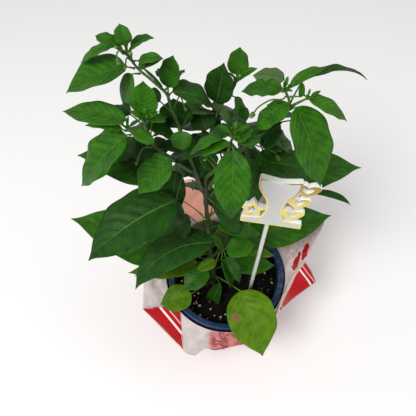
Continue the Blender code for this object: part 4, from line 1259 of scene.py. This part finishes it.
# The stem and the place on it that a smaller bud's stalk leaves, the stalk's route, the bud's half width,
# and whether it is pale.
SMALL_BUDS = (
    ("branch_left", 0.93, ((-67, 23, 402), (-67, 22, 406)), 1.3, False),
    ("branch_left", 0.95, ((-70, 22, 404), (-71, 20, 401)), 1.2, False),
    ("branch_left", 0.98, ((-74, 25, 408), (-75, 23, 411)), 1.0, False),
    ("branch_left", 0.62, ((-39, 18, 375), (-37, 17, 370), (-36, 16, 367)), 1.1, False),
    ("branch_left_low", 0.62, ((-64, -7, 352), (-67, -11, 348), (-69, -12, 343)), 1.2, False),
    ("main_stem", 0.62, ((-33, 7, 291), (-31, 5, 288), (-32, 4, 284)), 1.0, False),
    ("branch_right", 0.50, ((24, 8, 330), (29, 7, 328), (31, 7, 324)), 2.1, True),
    ("main_stem", 0.68, ((-16, 4, 317), (-14, -6, 320), (-15, -12, 317)), 1.6, True),
    ("branch_front", 0.45, ((-20, -6, 344), (-22, -8, 342)), 0.9, True),
    ("main_stem", 0.49, ((-27, -2, 254), (-24, -5, 251)), 1.0, True),
)
# A bud's rings past its stalk's end: how far on and how wide, in half widths, and how ribbed.
CUP_RINGS = ((0.25, 0.5, 0), (0.5, 0.78, 0.06), (0.9, 0.92, 0.12), (1.2, 0.96, 0.16))
PETAL_RINGS = ((1.24, 0.76, 0.02), (1.7, 0.88, 0.06), (2.2, 0.74, 0.1), (2.6, 0.42, 0.14), (2.85, 0.12, 0))
# Each growing tip: its stem, how many small leaves, and the longest one's blade.
SHOOT_TIPS = (
    ("branch_left", 6, 9), ("branch_left_low", 7, 9), ("twig_left_low", 6, 8), ("branch_front", 7, 9),
    ("branch_right", 7, 9), ("twig_right", 5, 7), ("main_stem", 6, 7),
)
GOLDEN_ANGLE = 137.5
TIP_REACH = 2.4  # how far off the growing tip its leaves' blades begin
TIP_SHAPE = 0.42


def bud_green(pale):
    """The finish of a bud: a darker ribbed cup, and lighter closed petals."""
    made, here = finish("pale_bud" if pale else "green_bud", Specular_IOR_Level=0.25)
    cup = here.blotches(2, 2).mix(paint(48, 82, 22), paint(76, 116, 34))
    closed = paint(186, 190, 92) if pale else paint(84, 118, 50)
    petals = here.blotches(1, 2).mix(closed, paint(120, 150, 66))
    here.kept("petals").mix(cup, petals).into("Base Color")
    (here.blotches(1.5) * 0.1 + 0.4).into("Roughness")
    here.blotches(0.6, 2).relief(0.15)
    return made


bud_greens = {pale: bud_green(pale) for pale in (False, True)}


def bud_skin(name, stem_name, place, route, radius, pale=False):
    """A closed bud on its stalk: one skin, ribbed at the cup and at the furled petals."""
    route = [Vector(p) for p in route]
    way = (route[0] - place_on(stems[stem_name], place)).normalized()
    route.insert(0, seat(stems[stem_name], place, way, BUD_SEAT) - way * GAP_INTO_STEM)
    stalk = along(smooth_route(route, 1.0))
    rings = [(at, way, BUD_STALK * (1 + 0.3 * bump(i, 2)), 0) for i, (at, way) in enumerate(stalk)]
    end, way = stalk[-1]
    for on, wide, rib in CUP_RINGS + PETAL_RINGS:
        rings.append((end + way * radius * on, way, radius * wide, rib))
    points, faces = tube(rings, BUD_SIDES)
    obj = skin(name, points, faces, bud_greens[pale])
    first = len(points) - BUD_SIDES * len(PETAL_RINGS)
    keep(obj, "petals", [float(i >= first) for i in range(len(points))])
    return obj


def tip_leaves(stem_name, count, longest):
    """The youngest leaves round a growing tip, shorter and steeper towards its middle."""
    stem, group = stems[stem_name], []
    for i in range(count):
        p = i / (count - 1)
        heading, pitch, length = i * GOLDEN_ANGLE + 20, 20 + 50 * p, longest * (1 - 0.6 * p)
        foot, stalk = stalk_to(stem, 0.97, stem[0][-1] + direction(heading, pitch) * TIP_REACH)
        blade = (heading, pitch, length, length * TIP_SHAPE)
        group.append(leaf_skin(f"tip_{i}", foot, stalk, blade, 30, 0, leaf_greens["young"], 900 + i))
    return joined(f"{stem_name}_tip_leaves", group)


for name, row in BUDS.items():
    fixed(bud_skin(f"{name}_petals", *row), "bud", name)
small_buds = [bud_skin(f"small_bud_{i}", *row) for i, row in enumerate(SMALL_BUDS)]
fixed(joined("small_buds", small_buds), "bud")
for row in SHOOT_TIPS:
    fixed(tip_leaves(*row), "young_leaf")

# ---- The plant pick ---------------------------------------------------------------------------------
# A white moulded plastic pick on a round white stick pushed into the compost: a goblet with a star and
# three hearts, cut from 4.5 mm sheet, with gold foil along the goblet's edge and over the small shapes.
PICK_FOOT = (26, -16, 55)
PICK_HEAD = (32, -9, 292)
PICK_RADIUS = 1.9
PLATE_THICKNESS = 4.5
PLATE_FOOT = 204.0  # how far up the stick the plate's lower edge is
PLATE_HEADING = -8.6
# The goblet's middle, and half its outline, across and up from the middle of its foot. Then each small
# shape's middle and size.
CUP_MIDDLE = 1.5
CUP = (
    (25, 0), (25.5, 1), (25, 7), (24, 8), (11.5, 9.5), (8.5, 12.5), (7, 18), (6.8, 28), (8.5, 37), (12.5, 45),
    (15.5, 53), (16, 62), (14.5, 64.5), (8, 63), (0, 61.5),
)
STAR = (-15.5, 20.5, 13)
HEARTS = ((22, 56, 9.5), (18, 38, 9.5), (16.5, 20, 9.5))
OPENING = 0.42  # the size of the hole in the star and in each heart, as a share of the shape
FOIL = 0.12
FOIL_LINE = 1.5
FOIL_INSET = 0.3  # how far the foil stays inside a shape's edge
CUP_EDGE = 0.35  # how much the goblet's edges are rounded, and the small shapes'
SHAPE_EDGE = 0.25
SHAPE_SINK = 0.2  # how far a small shape's faces lie under the goblet's
STICK_SIDES = 24


def star(x, y, radius):
    """A five-pointed star's outline."""
    outline = []
    for i in range(10):
        corner = direction(90 + 36 * i, 0) * radius * (0.5 if i % 2 else 1)
        outline.append((x + corner.x, y + corner.y))
    return outline


def heart(x, y, radius):
    """A heart's outline, a little taller than it is wide."""
    outline = []
    for i in range(40):
        t = math.radians(-9 * i - 4.5)
        tall = 13 * math.cos(t) - 5 * math.cos(2 * t) - 2 * math.cos(3 * t)
        outline.append((x + radius * math.sin(t) ** 3, y + radius * tall / 16))
    return outline


def cup_outline():
    """The goblet's outline: a smooth stem and bowl on a foot with corners."""
    bowl = smooth_route([Vector((*p, 0)) for p in CUP[3:]], 1.2)
    half = [*CUP[:3], *((p.x, p.y) for p in bowl)]
    return [(CUP_MIDDLE + x, y) for x, y in half] + [(CUP_MIDDLE - x, y) for x, y in reversed(half[:-1])]


def inset(outline, by):
    """An outline moved in on every side. It runs round the shape with the inside on its left."""
    moved = []
    for before, here, after in zip(outline[-1:] + outline[:-1], outline, outline[1:] + outline[:1]):
        first = (Vector(here) - Vector(before)).normalized()
        second = (Vector(after) - Vector(here)).normalized()
        inwards = Vector((-first.y, first.x))
        normal = (inwards + Vector((-second.y, second.x))).normalized()
        lean = max(0.45, normal.dot(inwards))
        moved.append(tuple(Vector(here) + normal * by / lean))
    return moved


pick_foot = Vector(PICK_FOOT)
pick_length = (Vector(PICK_HEAD) - pick_foot).length
pick_way = (Vector(PICK_HEAD) - pick_foot).normalized()


def plate_frame():
    """The plate's own axes: across, up and forwards, from the middle of its lower edge."""
    across = direction(PLATE_HEADING, 0)
    across = (across - pick_way * across.dot(pick_way)).normalized()
    forwards = across.cross(pick_way)
    centre = pick_foot + pick_way * PLATE_FOOT + forwards * (PICK_RADIUS + GAP + PLATE_THICKNESS / 2)
    return Matrix.Translation(centre * MM) @ Matrix((across, pick_way, forwards)).transposed().to_4x4()


def sheet_cut(name, outlines, thickness, forwards, made, rounding=0.0):
    """A flat piece cut to an outline and its holes, at a place along the plate's forward axis."""
    curve = bpy.data.curves.new(name, "CURVE")
    curve.dimensions = "2D"
    curve.fill_mode = "BOTH"
    curve.extrude = (thickness / 2 - rounding) * MM
    curve.bevel_depth = rounding * MM
    curve.offset = -rounding * MM
    curve.bevel_resolution = 2
    for outline in outlines:
        spline = curve.splines.new("POLY")
        spline.use_cyclic_u = True
        spline.points.add(len(outline) - 1)
        for point, (x, y) in zip(spline.points, outline):
            point.co = (x * MM, y * MM, 0, 1)
    outlined = bpy.data.objects.new(name, curve)
    scene.collection.objects.link(outlined)
    mesh = bpy.data.meshes.new_from_object(outlined.evaluated_get(bpy.context.evaluated_depsgraph_get()))
    bpy.data.objects.remove(outlined)
    mesh.transform(plate_frame() @ Matrix.Translation((0, 0, forwards * MM)))
    weld = bmesh.new()
    weld.from_mesh(mesh)
    bmesh.ops.remove_doubles(weld, verts=weld.verts, dist=1e-6)
    obj = placed(name, drawn(name, weld), made)
    obj.data.set_sharp_from_angle(angle=math.radians(35))
    return obj


def moulded(name, low, high, mottle, dullness, **settings):
    """A smooth moulded plastic, mottled a little from one colour to another."""
    made, here = finish(name, Specular_IOR_Level=0.5, **settings)
    here.blotches(mottle).mix(low, high).into("Base Color")
    (here.blotches(6, 3) * 0.1 + dullness).into("Roughness")
    here.blotches(2.5, 3).relief(0.05)
    return made


white_plastic = moulded(
    "white_plastic", paint(226, 226, 224), paint(238, 238, 237), 20, 0.28, Coat_Weight=0.15)
grey_panel = moulded("grey_panel", paint(196, 196, 194), paint(212, 212, 211), 26, 0.3)
gold_foil, here = finish("gold_foil", Metallic=1.0)
# The foil is lighter gold low on the plate and darker, browner gold towards its top, with a mottle.
darker_up_the_plate = here.split(2).rise(0.285, 0.325) * 0.75 + here.blotches(5, 3) * 0.3 - 0.1
darker_up_the_plate.mix(paint(240, 222, 130), paint(134, 92, 30)).into("Base Color")
(here.blotches(4, 3) * 0.15 + 0.2).into("Roughness")
here.blotches(1.8, 3).relief(0.06)

front = PLATE_THICKNESS / 2
cup = cup_outline()
edging = [inset(cup, FOIL_INSET), inset(cup, FOIL_INSET + FOIL_LINE)]
inner = [inset(cup, FOIL_INSET + FOIL_LINE - 0.1)]
white_parts = [sheet_cut("cup", [cup], PLATE_THICKNESS, 0, white_plastic, CUP_EDGE)]
foil_parts = [sheet_cut("foil_line", edging, FOIL, front + FOIL / 2, gold_foil)]
panel = sheet_cut("pick_panel", inner, FOIL * 0.6, front + FOIL * 0.3, grey_panel)
for name, shape, (x, y, radius) in [
        ("star", star, STAR), *((f"heart_{i}", heart, row) for i, row in enumerate(HEARTS))]:
    ring = [shape(x, y, radius), shape(x, y, radius * OPENING)]
    face = [inset(ring[0], FOIL_INSET), inset(ring[1], -FOIL_INSET)]
    white_parts.append(sheet_cut(name, ring, PLATE_THICKNESS - 2 * SHAPE_SINK, 0, white_plastic, SHAPE_EDGE))
    foil_parts.append(sheet_cut(f"{name}_foil", face, FOIL, front - SHAPE_SINK + FOIL / 2, gold_foil))
fixed(joined("pick_shapes", white_parts), "pick", "pick_plate")
fixed(panel, "pick")
fixed(joined("pick_gold_foil", foil_parts), "pick")

stick_plastic, here = finish("stick_plastic", Specular_IOR_Level=0.45)
clean = here.split(2).rise(0.104, 0.124) + here.blotches(3, 3) * 0.4 - 0.2
grain = here.drawn_out(0.06).blotches(0.7, 3)
clean.mix(paint(120, 108, 92), grain.mix(paint(206, 206, 200), paint(226, 226, 221))).into("Base Color")
(grain * 0.15 + 0.35).into("Roughness")
grain.relief(0.08)
stick = [(0, 0.4), (1.2, 0.85), (3, 1.0)]  # distance from the stick's foot, and share of its half width
stick += [(3 + (pick_length - 4) * k / 30, 1.0) for k in range(1, 31)]
stick += [(pick_length - 0.4, 0.85), (pick_length, 0.5)]
rings = [(pick_foot + pick_way * distance, pick_way, PICK_RADIUS * share, 0) for distance, share in stick]
fixed(skin("pick_rod", *tube(rings, STICK_SIDES), stick_plastic), "pick", "pick_stick")
